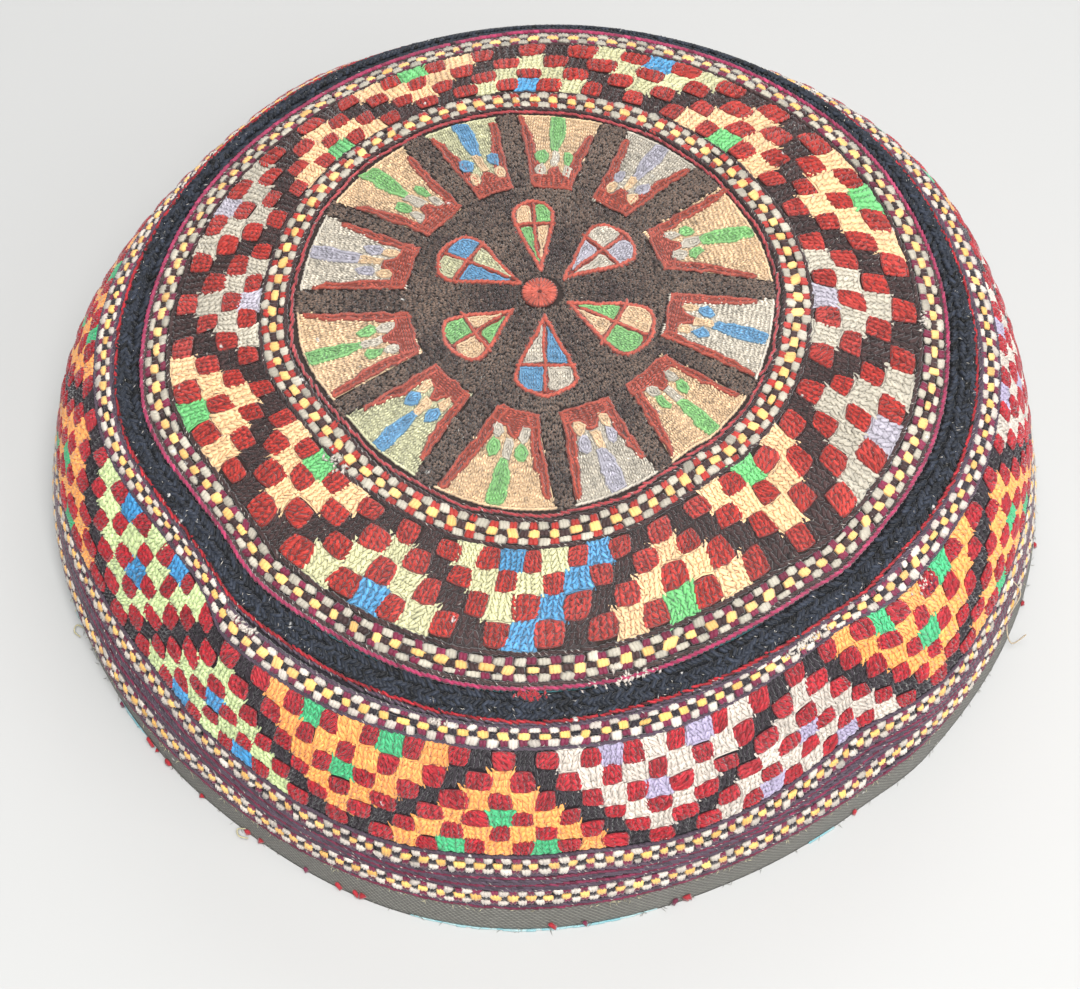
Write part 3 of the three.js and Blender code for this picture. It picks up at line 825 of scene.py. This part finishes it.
def planPlace(x, y):
    radius, angle = np.hypot(x, y), np.degrees(np.arctan2(y, x))
    stretch = np.clip((radius - wheel["plainRadius"]) / (wheel["edge"] - wheel["plainRadius"]), 0, 2)
    return angle, crownPlace(radius + stretch * (innerEdge(angle) - wheel["edgeBack"] - wheel["edge"]))


def insideShape(outline, x, y):
    inside = np.zeros(x.shape, bool)
    for (ax, ay), (bx, by) in zip(outline, np.roll(outline, -1, 0)):
        cross = (ay > y) != (by > y)
        inside ^= cross & (x < (bx - ax) * (y - ay) / ((by - ay) or 1e-9) + ax)
    return inside


def nearPath(path, x, y):  # distance to a closed path
    best = np.full(x.shape, 1e9)
    for a, b in zip(path, np.roll(path, -1, 0)):
        way = b - a
        share = np.clip(((x - a[0]) * way[0] + (y - a[1]) * way[1]) / (way @ way + 1e-9), 0, 1)
        best = np.minimum(best, np.hypot(x - a[0] - share * way[0], y - a[1] - share * way[1]))
    return best


def planStitches(work, tail, head, width, rise, colour, lift=0.0, open=0.4, thick=0.3, blunt=None):
    spots = [onCap(*planPlace(end[:, 0], end[:, 1])) for end in (tail, head)]
    points = [spot[:, :3] + spot[:, 3:6] * lift * mm for spot in spots]
    work.chain(points[0], points[1], spots[0][:, 3:6], width * mm, rise * mm, colour, open, thick, blunt)


def ropeAlong(work, path, width, rise, colour, lift=0.0, closed=False, step=0.9):
    # overlapping slanted stitches along a path, which look like a twisted thread
    stops = np.vstack([path, path[:1]]) if closed else np.asarray(path, float)
    gone = np.r_[0, np.cumsum(np.linalg.norm(np.diff(stops, axis=0), axis=1))]
    count = max(1, int(round(gone[-1] / step)))
    marks = np.linspace(0, gone[-1], count + 1)
    at = np.stack([np.interp(marks, gone, stops[:, k]) for k in (0, 1)], 1) + dice.normal(0, 0.05, (count + 1, 2))
    way = at[1:] - at[:-1]
    side = np.stack([-way[:, 1], way[:, 0]], 1) / (np.linalg.norm(way, axis=1, keepdims=True) + 1e-9) * width * 0.2
    tail, head = (onCap(*planPlace(*end.T)) for end in (at[:-1] - way * 0.4 - side, at[1:] + way * 0.4 + side))
    tone = colour * (1 + dice.normal(0, 0.12, (count, 1)))
    work.lay(tail[:, :3] + tail[:, 3:6] * lift * mm, head[:, :3] + head[:, 3:6] * lift * mm, tail[:, 3:6],
             width * 0.38 * mm, rise * mm, tone, blunt=0.2, low=0.06 * mm, tip=0.6)


def drawnIn(outline, distance):  # the outline, moved inwards
    way = np.roll(outline, -1, 0) - outline
    facing = np.stack([-way[:, 1], way[:, 0]], 1) / (np.linalg.norm(way, axis=1, keepdims=True) + 1e-9)
    facing = facing + np.roll(facing, 1, 0)
    facing /= np.linalg.norm(facing, axis=1, keepdims=True) + 1e-9
    area = (outline[:, 0] * np.roll(outline[:, 1], -1) - outline[:, 1] * np.roll(outline[:, 0], -1)).sum()
    return outline + facing * math.copysign(distance, area)


def patch(work, pads, outline, colour, lift, origin, ahead, covers=(), shade=0.86, edge=0.7):
    # one colour of thread: a pad to its outline, its colour darkened by shade as painted shade in the gaps between the
    # stitches, an edge thread, and columns of stitches that run along ahead
    outline = np.asarray(outline, float)
    middle = outline.mean(0)
    rings = np.array([1.0, 0.66, 0.33, 0.01])[:, None, None] * (outline - middle)[None] + middle
    padPoints = raised(*planPlace(rings[..., 0], rings[..., 1]), np.full(rings.shape[:2], lift + 0.02))
    pads.add(padPoints[None], colour * shade, wrap=True)
    if edge:
        ropeAlong(work, drawnIn(outline, edge * 0.42), edge, 0.28, colour * 0.88, lift, closed=True)
    aside = np.array([-ahead[1], ahead[0]])
    across, along = np.meshgrid(np.arange(-14, 15), np.arange(-34, 35), indexing="ij")
    turned = np.where(across % 2 == 0, 1, -1)
    along = (along + dice.normal(0, 0.25, (29, 1)) + dice.normal(0, 0.1, along.shape)) * wheel["stitchStep"]
    across = (across + dice.normal(0, 0.06, (29, 1))) * wheel["columnStep"]
    x = origin[0] + along * ahead[0] + across * aside[0]
    y = origin[1] + along * ahead[1] + across * aside[1]
    keep = insideShape(outline, x, y) & (nearPath(outline, x, y) > edge * 0.75)
    for cover in covers:
        keep &= ~(insideShape(cover, x, y) & (nearPath(cover, x, y) > 0.1))
    if keep.any():
        spots, turned = np.stack([x[keep], y[keep]], 1), turned[keep][:, None]
        half = ahead * wheel["stitchStep"] * 0.68 * turned + dice.normal(0, 0.12, (len(spots), 2))
        tone = colour * (1.08 + dice.normal(0, 0.19, (len(spots), 1)))
        planStitches(work, spots - half, spots + half, wheel["columnStep"], 0.44, tone, lift, 0.5, 0.3)


def handDrawn(outline, amount=0.16, step=1.2):  # the outline with more corners, each a little off
    stops = np.vstack([outline, outline[:1]])
    gone = np.r_[0, np.cumsum(np.linalg.norm(np.diff(stops, axis=0), axis=1))]
    marks = np.linspace(0, gone[-1], max(7, int(gone[-1] / step)), endpoint=False)
    return (np.stack([np.interp(marks, gone, stops[:, k]) for k in (0, 1)], 1)
            + dice.normal(0, amount, (len(marks), 2)))


def oval(middle, ahead, wide, long, corners=12):
    turn = np.arange(corners) * 2 * math.pi / corners
    aside = np.array([-ahead[1], ahead[0]])
    return middle + np.outer(np.cos(turn) * wide, aside) + np.outer(np.sin(turn) * long, ahead)


def polar(angle, radius):
    return radius * np.array([math.cos(math.radians(angle)), math.sin(math.radians(angle))])


wheelWork, wheelPads, shapes = ThreadWork(), crownPads, []
for middle, inner, outer, halfWidth, cross, threads in wheel["petals"]:
    ahead = polar(middle, 1.0)
    aside = np.array([-ahead[1], ahead[0]])
    profile = np.array(wheel["petalWidths"])

    def petalHalf(along, inset=0.0):
        share = (along - inner) / (outer - inner)
        return np.maximum(np.interp(share, profile[:, 0], profile[:, 1]) * halfWidth - inset, 0.02)

    def petalEdge(first, last, low, high, inset):  # an outline between two reaches of the petal
        along = np.linspace(first, last, 12)
        wide = petalHalf(along, inset)
        one, other = (np.where(np.isnan(edge), sign * wide, edge)
                      for edge, sign in ((np.full(12, low), -1), (np.full(12, high), 1)))
        sideA = along[:, None] * ahead + np.minimum(one, wide)[:, None] * aside
        sideB = along[:, None] * ahead + np.maximum(other, -wide)[:, None] * aside
        return np.vstack([sideA, sideB[::-1]])
    outline = petalEdge(inner, outer, np.nan, np.nan, 0.0)
    shapes.append(outline)
    patch(wheelWork, wheelPads, outline, crownThread["F"], -0.08, ahead * inner, ahead, [outline], edge=0)
    start, end, gap, edge = inner + 1.9, outer - 0.9, 0.3, 0.8
    for index, (first, last, low, high) in enumerate(((start, cross - gap, np.nan, -gap),
                                                      (start, cross - gap, gap, np.nan),
                                                      (cross + gap, end, np.nan, -gap),
                                                      (cross + gap, end, gap, np.nan))):
        patch(wheelWork, wheelPads, handDrawn(petalEdge(first, last, low, high, edge), 0.1),
              wheelThread[threads[index]], 0.04, ahead * inner, ahead, edge=0.6)
    ropeAlong(wheelWork, handDrawn(petalEdge(inner, outer, np.nan, np.nan, 0.45), 0.12), 1.15, 0.42,
              crownThread["E"] * 1.1, 0.04, closed=True)
    bend = dice.uniform(-0.5, 0.5, 3)
    ropeAlong(wheelWork, [ahead * (inner + 2.5), ahead * (inner + cross) / 2 + aside * bend[0], ahead * cross,
                          ahead * (outer - 0.9) + aside * bend[1]], 0.9, 0.4, crownThread["E"], 0.14)
    reach = halfWidth * 0.88
    ropeAlong(wheelWork, [ahead * (cross + bend[2]) - aside * reach, ahead * (cross + 0.3),
                          ahead * (cross - bend[2]) + aside * reach], 0.95, 0.4, crownThread["E"], 0.16)

for innerLow, innerHigh, outerLow, outerHigh, innerRadius, threads in wheel["panels"]:
    pale, accent, small = (wheelThread[code] * dice.uniform(0.9, 1.12) for code in threads)
    origin = polar((innerLow + innerHigh) / 2, innerRadius)
    tipPoint = polar((outerLow + outerHigh) / 2, wheel["edge"])
    length = np.linalg.norm(tipPoint - origin)
    ahead = (tipPoint - origin) / length
    aside = np.array([-ahead[1], ahead[0]])
    corners = [polar(a, r) - origin for a, r in ((innerLow, innerRadius), (innerHigh, innerRadius),
                                                 (outerLow, wheel["edge"]), (outerHigh, wheel["edge"]))]
    lowIn, highIn, lowOut, highOut = (corner @ aside for corner in corners)

    def sides(along):
        share = along / length
        return lowIn + (lowOut - lowIn) * share, highIn + (highOut - highIn) * share

    def spot(across, along):
        return origin + across * aside + along * ahead
    arc = [polar(a, wheel["edge"]) for a in np.linspace(outerHigh, outerLow, 6)]
    body = np.array([polar(innerLow, innerRadius), spot(0, -0.2), polar(innerHigh, innerRadius)] + arc)
    shapes.append(body)
    room = highIn - lowIn
    crownDeep, stemEnd = 2.6, 4.7
    frames = []
    for sign in (0, 1):
        line, frameEnd, frameWide = [], length - dice.uniform(0.5, 4.2), dice.uniform(1.6, 2.2)
        for along, wide in ((0, frameWide), (frameEnd * 0.5, frameWide * 1.1), (frameEnd, frameWide * 0.6)):
            edge = sides(along)[sign]
            line.append((spot(edge, along), spot(edge + (wide if sign == 0 else -wide), along)))
        frames.append(np.array([a for a, b in line] + [b for a, b in line][::-1]))
    low, high = sides(crownDeep)
    cap = np.array([spot(lowIn, -0.1), spot(highIn, -0.1), spot(high, crownDeep), spot(1.3, crownDeep + 0.2),
                    spot(0.8, stemEnd), spot(-0.8, stemEnd), spot(-1.3, crownDeep + 0.2), spot(low, crownDeep)])
    stem = np.array([spot(-0.8, stemEnd), spot(0.8, stemEnd), spot(0.75, 8.2), spot(-0.75, 8.2)])
    away = max(2.25, room * 0.24)
    bits = [oval(spot(sign * away * 0.98, 3.7), ahead, 0.95, 1.5) for sign in (-1, 1)]
    dots = [oval(spot(sign * away, 6.5), ahead, 1.05, 1.65) for sign in (-1, 1)]
    lozenge = np.array([spot(a, b) for a, b in ((-0.7, 7.9), (0.7, 7.9), (1.3, 10.5), (1.55, 14), (1.25, length - 0.3),
                                                (-1.25, length - 0.3), (-1.55, 14), (-1.3, 10.5))])
    ropeAlong(wheelWork, drawnIn(body, 0.3)[3:], 0.75, 0.3, pale, -0.03)
    layers = [(f, crownThread["E"], 0.1, 0.85) for f in frames] + [
        (cap, crownThread["E"], 0.12, 0.75), (stem, small, 0.2, 0.55), (bits[0], small, 0.26, 0.55),
        (bits[1], small, 0.26, 0.55), (dots[0], accent, 0.3, 0.6), (dots[1], accent, 0.3, 0.6),
        (lozenge, accent, 0.18, 0.65)]
    layers = [(drawnIn(body, 0.5), pale, -0.06, 0)] + [(handDrawn(layer[0]), *layer[1:]) for layer in layers]
    # The red frames and cap get the darkest pads, 0.55, the others 0.82: painted shade in the gaps between the
    # stitches.
    for number, (outline, colour, lift, edge) in enumerate(layers):
        patch(wheelWork, wheelPads, outline, colour, lift, origin, aside if number == 3 else ahead,
              [above[0] for above in layers[number + 1:]], 0.55 if 1 <= number <= 3 else 0.82, edge)

for radius in np.arange(wheel["rosetteRadius"] + 0.5, wheel["edge"] + 0.4, wheel["groundStep"]):
    count = int(2 * math.pi * radius / wheel["groundWidth"])
    turn = (np.arange(count) + dice.random()) * 2 * math.pi / count
    x, y = radius * np.cos(turn), radius * np.sin(turn)
    free = np.hypot(x - wheel["rosetteMiddle"][0], y) > wheel["rosetteRadius"] + 0.2
    for outline in shapes:
        free &= ~insideShape(outline, x, y)
    if not free.any():
        continue
    x, y, turn = x[free], y[free], turn[free]
    lean = turn + dice.normal(0, 0.6, len(turn)) + math.pi * (dice.random(len(turn)) < 0.4)
    half = np.stack([np.cos(lean), np.sin(lean)], 1) * 0.6
    spots = np.stack([x, y], 1) + dice.normal(0, 0.12, (len(x), 2))
    pale = np.sin(x * 0.32 + 1) * np.sin(y * 0.29 + 2) * 0.4 + dice.normal(0.3, 0.2, len(x)) + radius / 60
    pale = np.clip(pale, 0, 1)[:, None]
    colour = (crownThread["D"] * (1 - pale) + crownThread["N"] * pale) * dice.uniform(0.75, 1.25, (len(x), 1))
    planStitches(wheelWork, spots - half, spots + half, wheel["groundWidth"], 0.4, colour, -0.04, 0.5, 0.36)

rosette = np.array(wheel["rosetteMiddle"])
for start, reach, count, lift in ((1.2, wheel["rosetteRadius"], 19, 0.2), (0.2, 1.8, 11, 0.3)):
    turn = (np.arange(count) + dice.normal(0, 0.15, count)) * 2 * math.pi / count
    ahead = np.stack([np.cos(turn), np.sin(turn)], 1)
    tone = crownThread["E"] * dice.uniform(0.7, 1.25, (count, 1))
    planStitches(wheelWork, rosette + ahead * start, rosette + ahead * reach, 0.9, 0.4, tone * 1.2, lift, 0.3, 0.42, 0.2)
# a pad under the rosette, its faded red halved: painted shade between the rosette's stitches
wheelPads.add(raised(*planPlace(*(rosette[:, None, None] + np.array([3.1, 2, 1, 0.02])[None, :, None]
                                  * np.array([np.cos(np.arange(16) * math.pi / 8),
                                              np.sin(np.arange(16) * math.pi / 8)])[:, None, :])),
                     np.full((4, 16), 0.1))[None], crownThread["F"] * 0.5, wrap=True)
wheelWork.build("crown_wheel", "crown_embroidery", crownFinish)
crownPads.build("crown_pads", "crown_embroidery", crownFinish)


# Rim: the black band of four plaited rows, and the red line outside it

braid = {"rows": [67.5, 68.6, 69.65, 70.6], "width": 1.35, "pitch": 0.72, "rise": 0.6, "lineRadius": 71.55}
braidWork = ThreadWork()
for number, radius in enumerate(braid["rows"]):
    arch = math.sin(math.pi * (radius - sectionRadius[rim]) / (sectionRadius[shoulder] - sectionRadius[rim]))
    stitchLine(braidWork, lambda a, radius=radius: crownPlace(radius + 0 * a), braid["pitch"], braid["width"], 0.5,
               linear(33, 38, 48), lift=-0.1 + braid["rise"] * arch, sway=0.3, spread=0.45, flecks=0.035,
               lean=0.42 * (-1) ** number)
stitchLine(braidWork, lambda a: crownPlace(braid["lineRadius"] + 0.12 * np.sin(np.radians(a) * 11)), 1.0, 0.85, 0.45,
           sideThread["R"] * 0.8, lift=0.3, sway=0.12, spread=0.3, flecks=0.05)
stitchLine(braidWork, lambda a: wallPlace(0.3 + 0 * a), 1.0, 0.9, 0.4, sideThread["P"], lift=0.1, sway=0.14, spread=0.2,
           flecks=0.3)
braidWork.build("rim_braid_thread", "black_braid", braidFinish)


# Wall: borders and stripes

wallBorder = {
    "topLine": 1.0, "topMiddle": 2.75, "topPeriods": 150, "topStep": 1.12, "triangleTop": -0.2,
    "triangleFoot": 0.7, "middle": 3.0, "middlePeriods": 184, "middleStep": 1.22, "stripeTop": 5.25,
    "lowerMiddle": 37.0, "lowerPeriods": 178, "lowerStep": 1.2,
    "lower": {0: 0, 180: 0, 205: 0, 215: 0.2, 225: -0.9, 230: -1.2, 240: 0.8, 250: 0.2, 260: 0.1, 270: -0.6,
              280: -0.7, 290: -0.2, 300: 0, 307: 0.1, 312: -1.5, 316: -1.6, 320: 0.2, 325: 1.2, 330: 0.6, 340: 0},
    # share of the way from the middle checker to the lower one, thread, width, flecks
    "stripes": [(0.0, "P", 1.2, 0.25), (0.2, "M", 0.8, 0.08), (0.38, "P", 1.2, 0.05), (0.56, "P", 1.2, 0.05),
                (0.75, "M", 0.85, 0.08), (0.9, "P", 1.1, 0.12), (1.05, "P", 0.9, 0.3)],
}
wallFoot = wallRing["rowsDown"][-1]


def topWave(angle):
    return around(wallRing["top"], angle)


def footWave(angle):
    return around(wallRing["foot"], angle)


def lowerWave(angle):
    return around(wallBorder["lower"], angle)


upperBorder = ThreadWork()
stitchLine(upperBorder, lambda a: wallPlace(wallBorder["topLine"] + topWave(a) * 0.7), 1.0, 1.1, 0.36,
           sideThread["P"], flecks=0.2)
stitchChecker(upperBorder, lambda a, off: wallPlace(wallBorder["topMiddle"] + topWave(a) * 0.85 + off),
              wallBorder["topPeriods"], wallBorder["topStep"], sideThread, checkerRows, 0.42)
stitchLine(upperBorder, lambda a: wallPlace(wallRing["rowsDown"][0] + topWave(a) + wallBorder["triangleTop"]), 1.0,
           0.9, 0.38, sideThread["P"], lift=0.05, flecks=0.1)
stitchLine(upperBorder, lambda a: wallPlace(wallFoot + footWave(a) + wallBorder["triangleFoot"]), 1.0, 1.1, 0.38,
           sideThread["P"], lift=0.05, flecks=0.15)
stitchChecker(upperBorder, lambda a, off: wallPlace(wallFoot + footWave(a) + wallBorder["middle"] + off),
              wallBorder["middlePeriods"], wallBorder["middleStep"], sideThread, checkerRows, 0.42)
upperBorder.build("side_borders_upper", "side_embroidery", borderFinish)

stripes = ThreadWork()
for share, code, width, flecks in wallBorder["stripes"]:
    def stripePlace(angle, share=share):
        high = wallFoot + footWave(angle) + wallBorder["stripeTop"]
        low = wallBorder["lowerMiddle"] + lowerWave(angle) - 2.3
        return wallPlace(high + (low - high) * share + 0.12 * np.sin(np.radians(angle) * 17 + share * 9))
    stitchLine(stripes, stripePlace, 1.05, width, 0.36, sideThread[code], sway=0.12, spread=0.2, flecks=flecks)
stitchChecker(stripes, lambda a, off: wallPlace(wallBorder["lowerMiddle"] + lowerWave(a) + off),
              wallBorder["lowerPeriods"], wallBorder["lowerStep"], sideThread, checkerRows, 0.42, crowd=4.5)
for drop, code, flecks in ((39.1, "P", 0.2), (39.8, "M", 0.1)):
    stitchLine(stripes, lambda a, drop=drop: wallPlace(drop + 0.3 * lowerWave(a)), 1.05, 0.95, 0.34,
               sideThread[code], sway=0.14, spread=0.2, flecks=flecks)
stripes.build("side_borders_lower", "side_embroidery", borderFinish)
print("borders ready")


# Wear: whip stitches and frayed thread at the hem, worn spots, lint and loose ends

wear = {
    "whipStitches": 46, "frayStrands": 700,
    "liningShows": [(186, 203), (214, 219), (256, 281), (300, 303)],  # angles where the lining's edge peeps out
    # angle, place, spread in millimetres, thread, strands
    "wornSpots": [(321.5, wallPlace(6.2), 1.6, "W", 16), (322.5, wallPlace(7.6), 1.5, "M", 14),
                  (230, wallPlace(1.9), 2.2, "W", 26), (257.5, wallPlace(2.0), 1.4, "W", 12),
                  (304, wallPlace(1.6), 1.6, "W", 12), (0.5, crownPlace(62), 1.5, "W", 14),
                  (223, crownPlace(45.2), 2.6, "W", 22), (281, crownPlace(67.0), 4.6, "W", 44),
                  (268, crownPlace(67.3), 2.0, "R", 60), (304, wallPlace(2.8), 4.0, "W", 30)],
    "crownLint": 420, "bandLint": 150, "wallLint": 260,
}


def scatter(work, angle, place, length, width, rise, colour, lift, stray=9.0):
    # short strands that lie down the cap, or any way at all where stray is large
    spot = onCap(angle, place)
    turn = math.pi / 2 + dice.normal(0, stray, (len(angle), 1))
    way = (spot[:, 6:9] * np.cos(turn) + spot[:, 9:12] * np.sin(turn)) * length[:, None] * mm / 2
    middle = spot[:, :3] + spot[:, 3:6] * lift * mm
    work.lay(middle - way, middle + way, spot[:, 3:6], width * mm, rise * mm, colour, bow=dice.normal(0, 0.1, len(angle)) * mm)


wearWork = ThreadWork()
for angle, place, spread, code, count in wear["wornSpots"]:
    spot = onCap(angle, place)
    degrees = math.degrees(spread * mm / np.hypot(spot[0], spot[1]))
    angles = angle + dice.normal(0, 0.6, count) * degrees
    places = place + dice.normal(0, 0.06, count)
    scatter(wearWork, angles, places, dice.uniform(0.7, 1.5, count), 0.27, 0.32,
            np.tile(sideThread[code] * 0.9, (count, 1)) * dice.uniform(0.75, 1.1, (count, 1)), 0.4, 0.6)
lintTone = linear(214, 208, 196)
for count, low, high, lift in ((wear["crownLint"], crownPlace(3.0), crownPlace(66), 0.22),
                               (wear["bandLint"], crownPlace(67.2), crownPlace(71), 0.85),
                               (wear["wallLint"], wallPlace(1), wallPlace(40), 0.3)):
    places = low + (high - low) * np.sqrt(dice.random(count))
    scatter(wearWork, dice.uniform(0, 360, count), places, dice.uniform(0.3, 1.0, count), 0.07, 0.1,
            np.tile(lintTone, (count, 1)) * dice.uniform(0.7, 1.0, (count, 1)), lift)
wearWork.build("worn_threads", "crown_embroidery", hemFinish)

hemWork = ThreadWork()
count = wear["whipStitches"]
angle = np.sort(dice.uniform(0, 360, count))
outward = onCap(angle, hem - 0.1)[:, 3:6]
tail = raised(angle, hem - dice.uniform(0.22, 0.4, count), 0.2)
head = raised(angle + dice.normal(0, 0.5, count), hem - 0.09, 0.3)
whip = np.where(dice.random((count, 1)) < 0.7, sideThread["R"], sideThread["M"]) * dice.uniform(0.8, 1.1, (count, 1))
hemWork.lay(tail, head, outward, dice.uniform(0.35, 0.8, count) * mm, 0.5 * mm, whip, blunt=0.12)
count = wear["frayStrands"]
angle = dice.uniform(0, 360, count)
low = dice.random(count) < 0.4  # part of the fray is at the foot, the rest where the tape meets the border
place = np.where(low, hem - 0.1, borderFoot + 0.05)
start = onCap(angle, place)
way = (start[:, 6:9] * dice.normal(0, 1.0, (count, 1)) + start[:, 9:12] * dice.uniform(-0.3, 0.8, (count, 1))
       + start[:, 3:6] * dice.uniform(0.05, 0.6, (count, 1)))
way /= np.linalg.norm(way, axis=1, keepdims=True)
tail = start[:, :3] + start[:, 3:6] * 0.05 * mm
head = tail + way * dice.uniform(0.4, 1.5, (count, 1)) * mm
head[:, 2] = np.maximum(head[:, 2], 0.15 * mm)
grey = np.where(low[:, None], linear(150, 148, 136), linear(204, 196, 160)) * dice.uniform(0.5, 1.1, (count, 1))
hemWork.lay(tail, head, start[:, 3:6], 0.07 * mm, 0.1 * mm, grey, bow=dice.uniform(-0.25, 0.25, count) * mm)
hemWork.build("hem_stitches", "twill_tape", hemFinish)

lipWork = ThreadWork()
for first, last in wear["liningShows"]:
    marks = np.arange(first, last, 0.8)
    tail, head = raised(marks, hem - 0.045, 0.1), raised(marks + 1.3, hem - 0.045, 0.1)
    swell = np.sin(np.pi * (marks + 0.4 - first) / (last - first + 0.4)) ** 0.5 * dice.uniform(0.3, 1, len(marks))
    pale = dice.uniform(0, 0.5, (len(marks), 1))
    lipWork.lay(tail, head, onCap(marks, hem)[:, 3:6], 0.22 * mm, 0.45 * mm * swell,
                linear(120, 178, 186) * (1 - pale) + linear(204, 212, 206) * pale, blunt=0.15)
lipWork.build("lining_edge", "lining_cotton", hemFinish)


def looseEnd(work, stops, width, colour):  # a curly thread through a few points
    stops = np.array(stops)
    marks = np.linspace(0, len(stops) - 1, 26)
    path = smoothLine(np.vstack([stops[:1], stops, stops[-1:]]), np.minimum(marks, len(stops) - 1.001))
    way = path[1:] - path[:-1]
    normal = np.cross(way, np.cross([0, 0, 1], way))
    normal /= np.linalg.norm(normal, axis=1, keepdims=True) + 1e-12
    work.lay(path[:-1] - way * 0.2, path[1:] + way * 0.2, normal, width, width, np.tile(colour, (len(way), 1)), blunt=0.1)


endWork = ThreadWork()
base = onCap(337, wallPlace(31))
rightward = base[3:6] * mm
looseEnd(endWork, [base[:3] + rightward * 0.2, base[:3] + rightward * 2.4 + [0, 0, -0.004],
                   base[:3] + rightward * 1.6 + [-0.001, -0.003, -0.0085],
                   base[:3] + rightward * 2.8 + [-0.001, -0.005, -0.0125],
                   base[:3] + rightward * 4.2 + [0, -0.004, -0.0105]], 0.14 * mm, linear(196, 178, 150))
for angle in (204, 236):
    base = onCap(angle, hem - 0.2)
    outward, turnWay = base[3:6] * mm, base[6:9] * mm
    looseEnd(endWork, [base[:3] + outward * 0.1, base[:3] + outward * 1.0 - turnWay, base[:3] + outward * 1.8,
                       base[:3] + outward * 1.2 + turnWay * 1.5], 0.13 * mm, linear(206, 196, 150))
endWork.build("loose_ends", "twill_tape", hemFinish)
print("wear ready")


# Setting: pale floor, soft light, camera at the photograph's angle

def makeSetting():
    floorMesh = bpy.data.meshes.new("floor")
    reach = 3.0
    floorMesh.from_pydata([(-reach, -reach, 0), (reach, -reach, 0), (reach, reach, 0), (-reach, reach, 0)], [],
                          [(0, 1, 2, 3)])
    floor = bpy.data.objects.new("floor", floorMesh)
    bpy.context.scene.collection.objects.link(floor)
    paper = bpy.data.materials.new("paleFloor")
    paper.use_nodes = True
    paper.node_tree.nodes["Principled BSDF"].inputs["Base Color"].default_value = (0.5, 0.5, 0.49, 1)
    paper.node_tree.nodes["Principled BSDF"].inputs["Roughness"].default_value = 0.9
    floorMesh.materials.append(paper)

    for name, place, size, power in (("keyLight", (0.05, -0.35, 0.8), 0.4, 9.5),
                                     ("fillLight", (0.6, -0.5, 0.5), 0.7, 3.5),
                                     ("backLight", (0.1, 0.7, 0.6), 0.6, 3.0)):
        lamp = bpy.data.lights.new(name, "AREA")
        lamp.size = size
        lamp.energy = power
        holder = bpy.data.objects.new(name, lamp)
        holder.location = place
        ahead = -np.array(place)
        holder.rotation_euler = (math.atan2(math.hypot(ahead[0], ahead[1]), -ahead[2]), 0,
                                 math.atan2(-ahead[0], ahead[1]))
        bpy.context.scene.collection.objects.link(holder)
    world = bpy.data.worlds.new("room")
    world.use_nodes = True
    world.node_tree.nodes["Background"].inputs["Color"].default_value = (0.96, 0.97, 1.0, 1)
    world.node_tree.nodes["Background"].inputs["Strength"].default_value = 0.3
    bpy.context.scene.world = world
    bpy.context.scene.view_settings.view_transform = "Standard"

    view = {"lens": 73.33, "place": (-0.668, -216.116, 346.462), "tilt": 30.984}
    camera = bpy.data.cameras.new("camera")
    camera.sensor_fit = "HORIZONTAL"
    camera.sensor_width = 36
    camera.lens = view["lens"]
    camera.clip_start = 0.01
    stand = bpy.data.objects.new("camera", camera)
    stand.location = np.array(view["place"]) * mm + capShift
    stand.rotation_euler = (math.radians(view["tilt"]), 0, 0)
    bpy.context.scene.collection.objects.link(stand)
    bpy.context.scene.camera = stand


makeSetting()
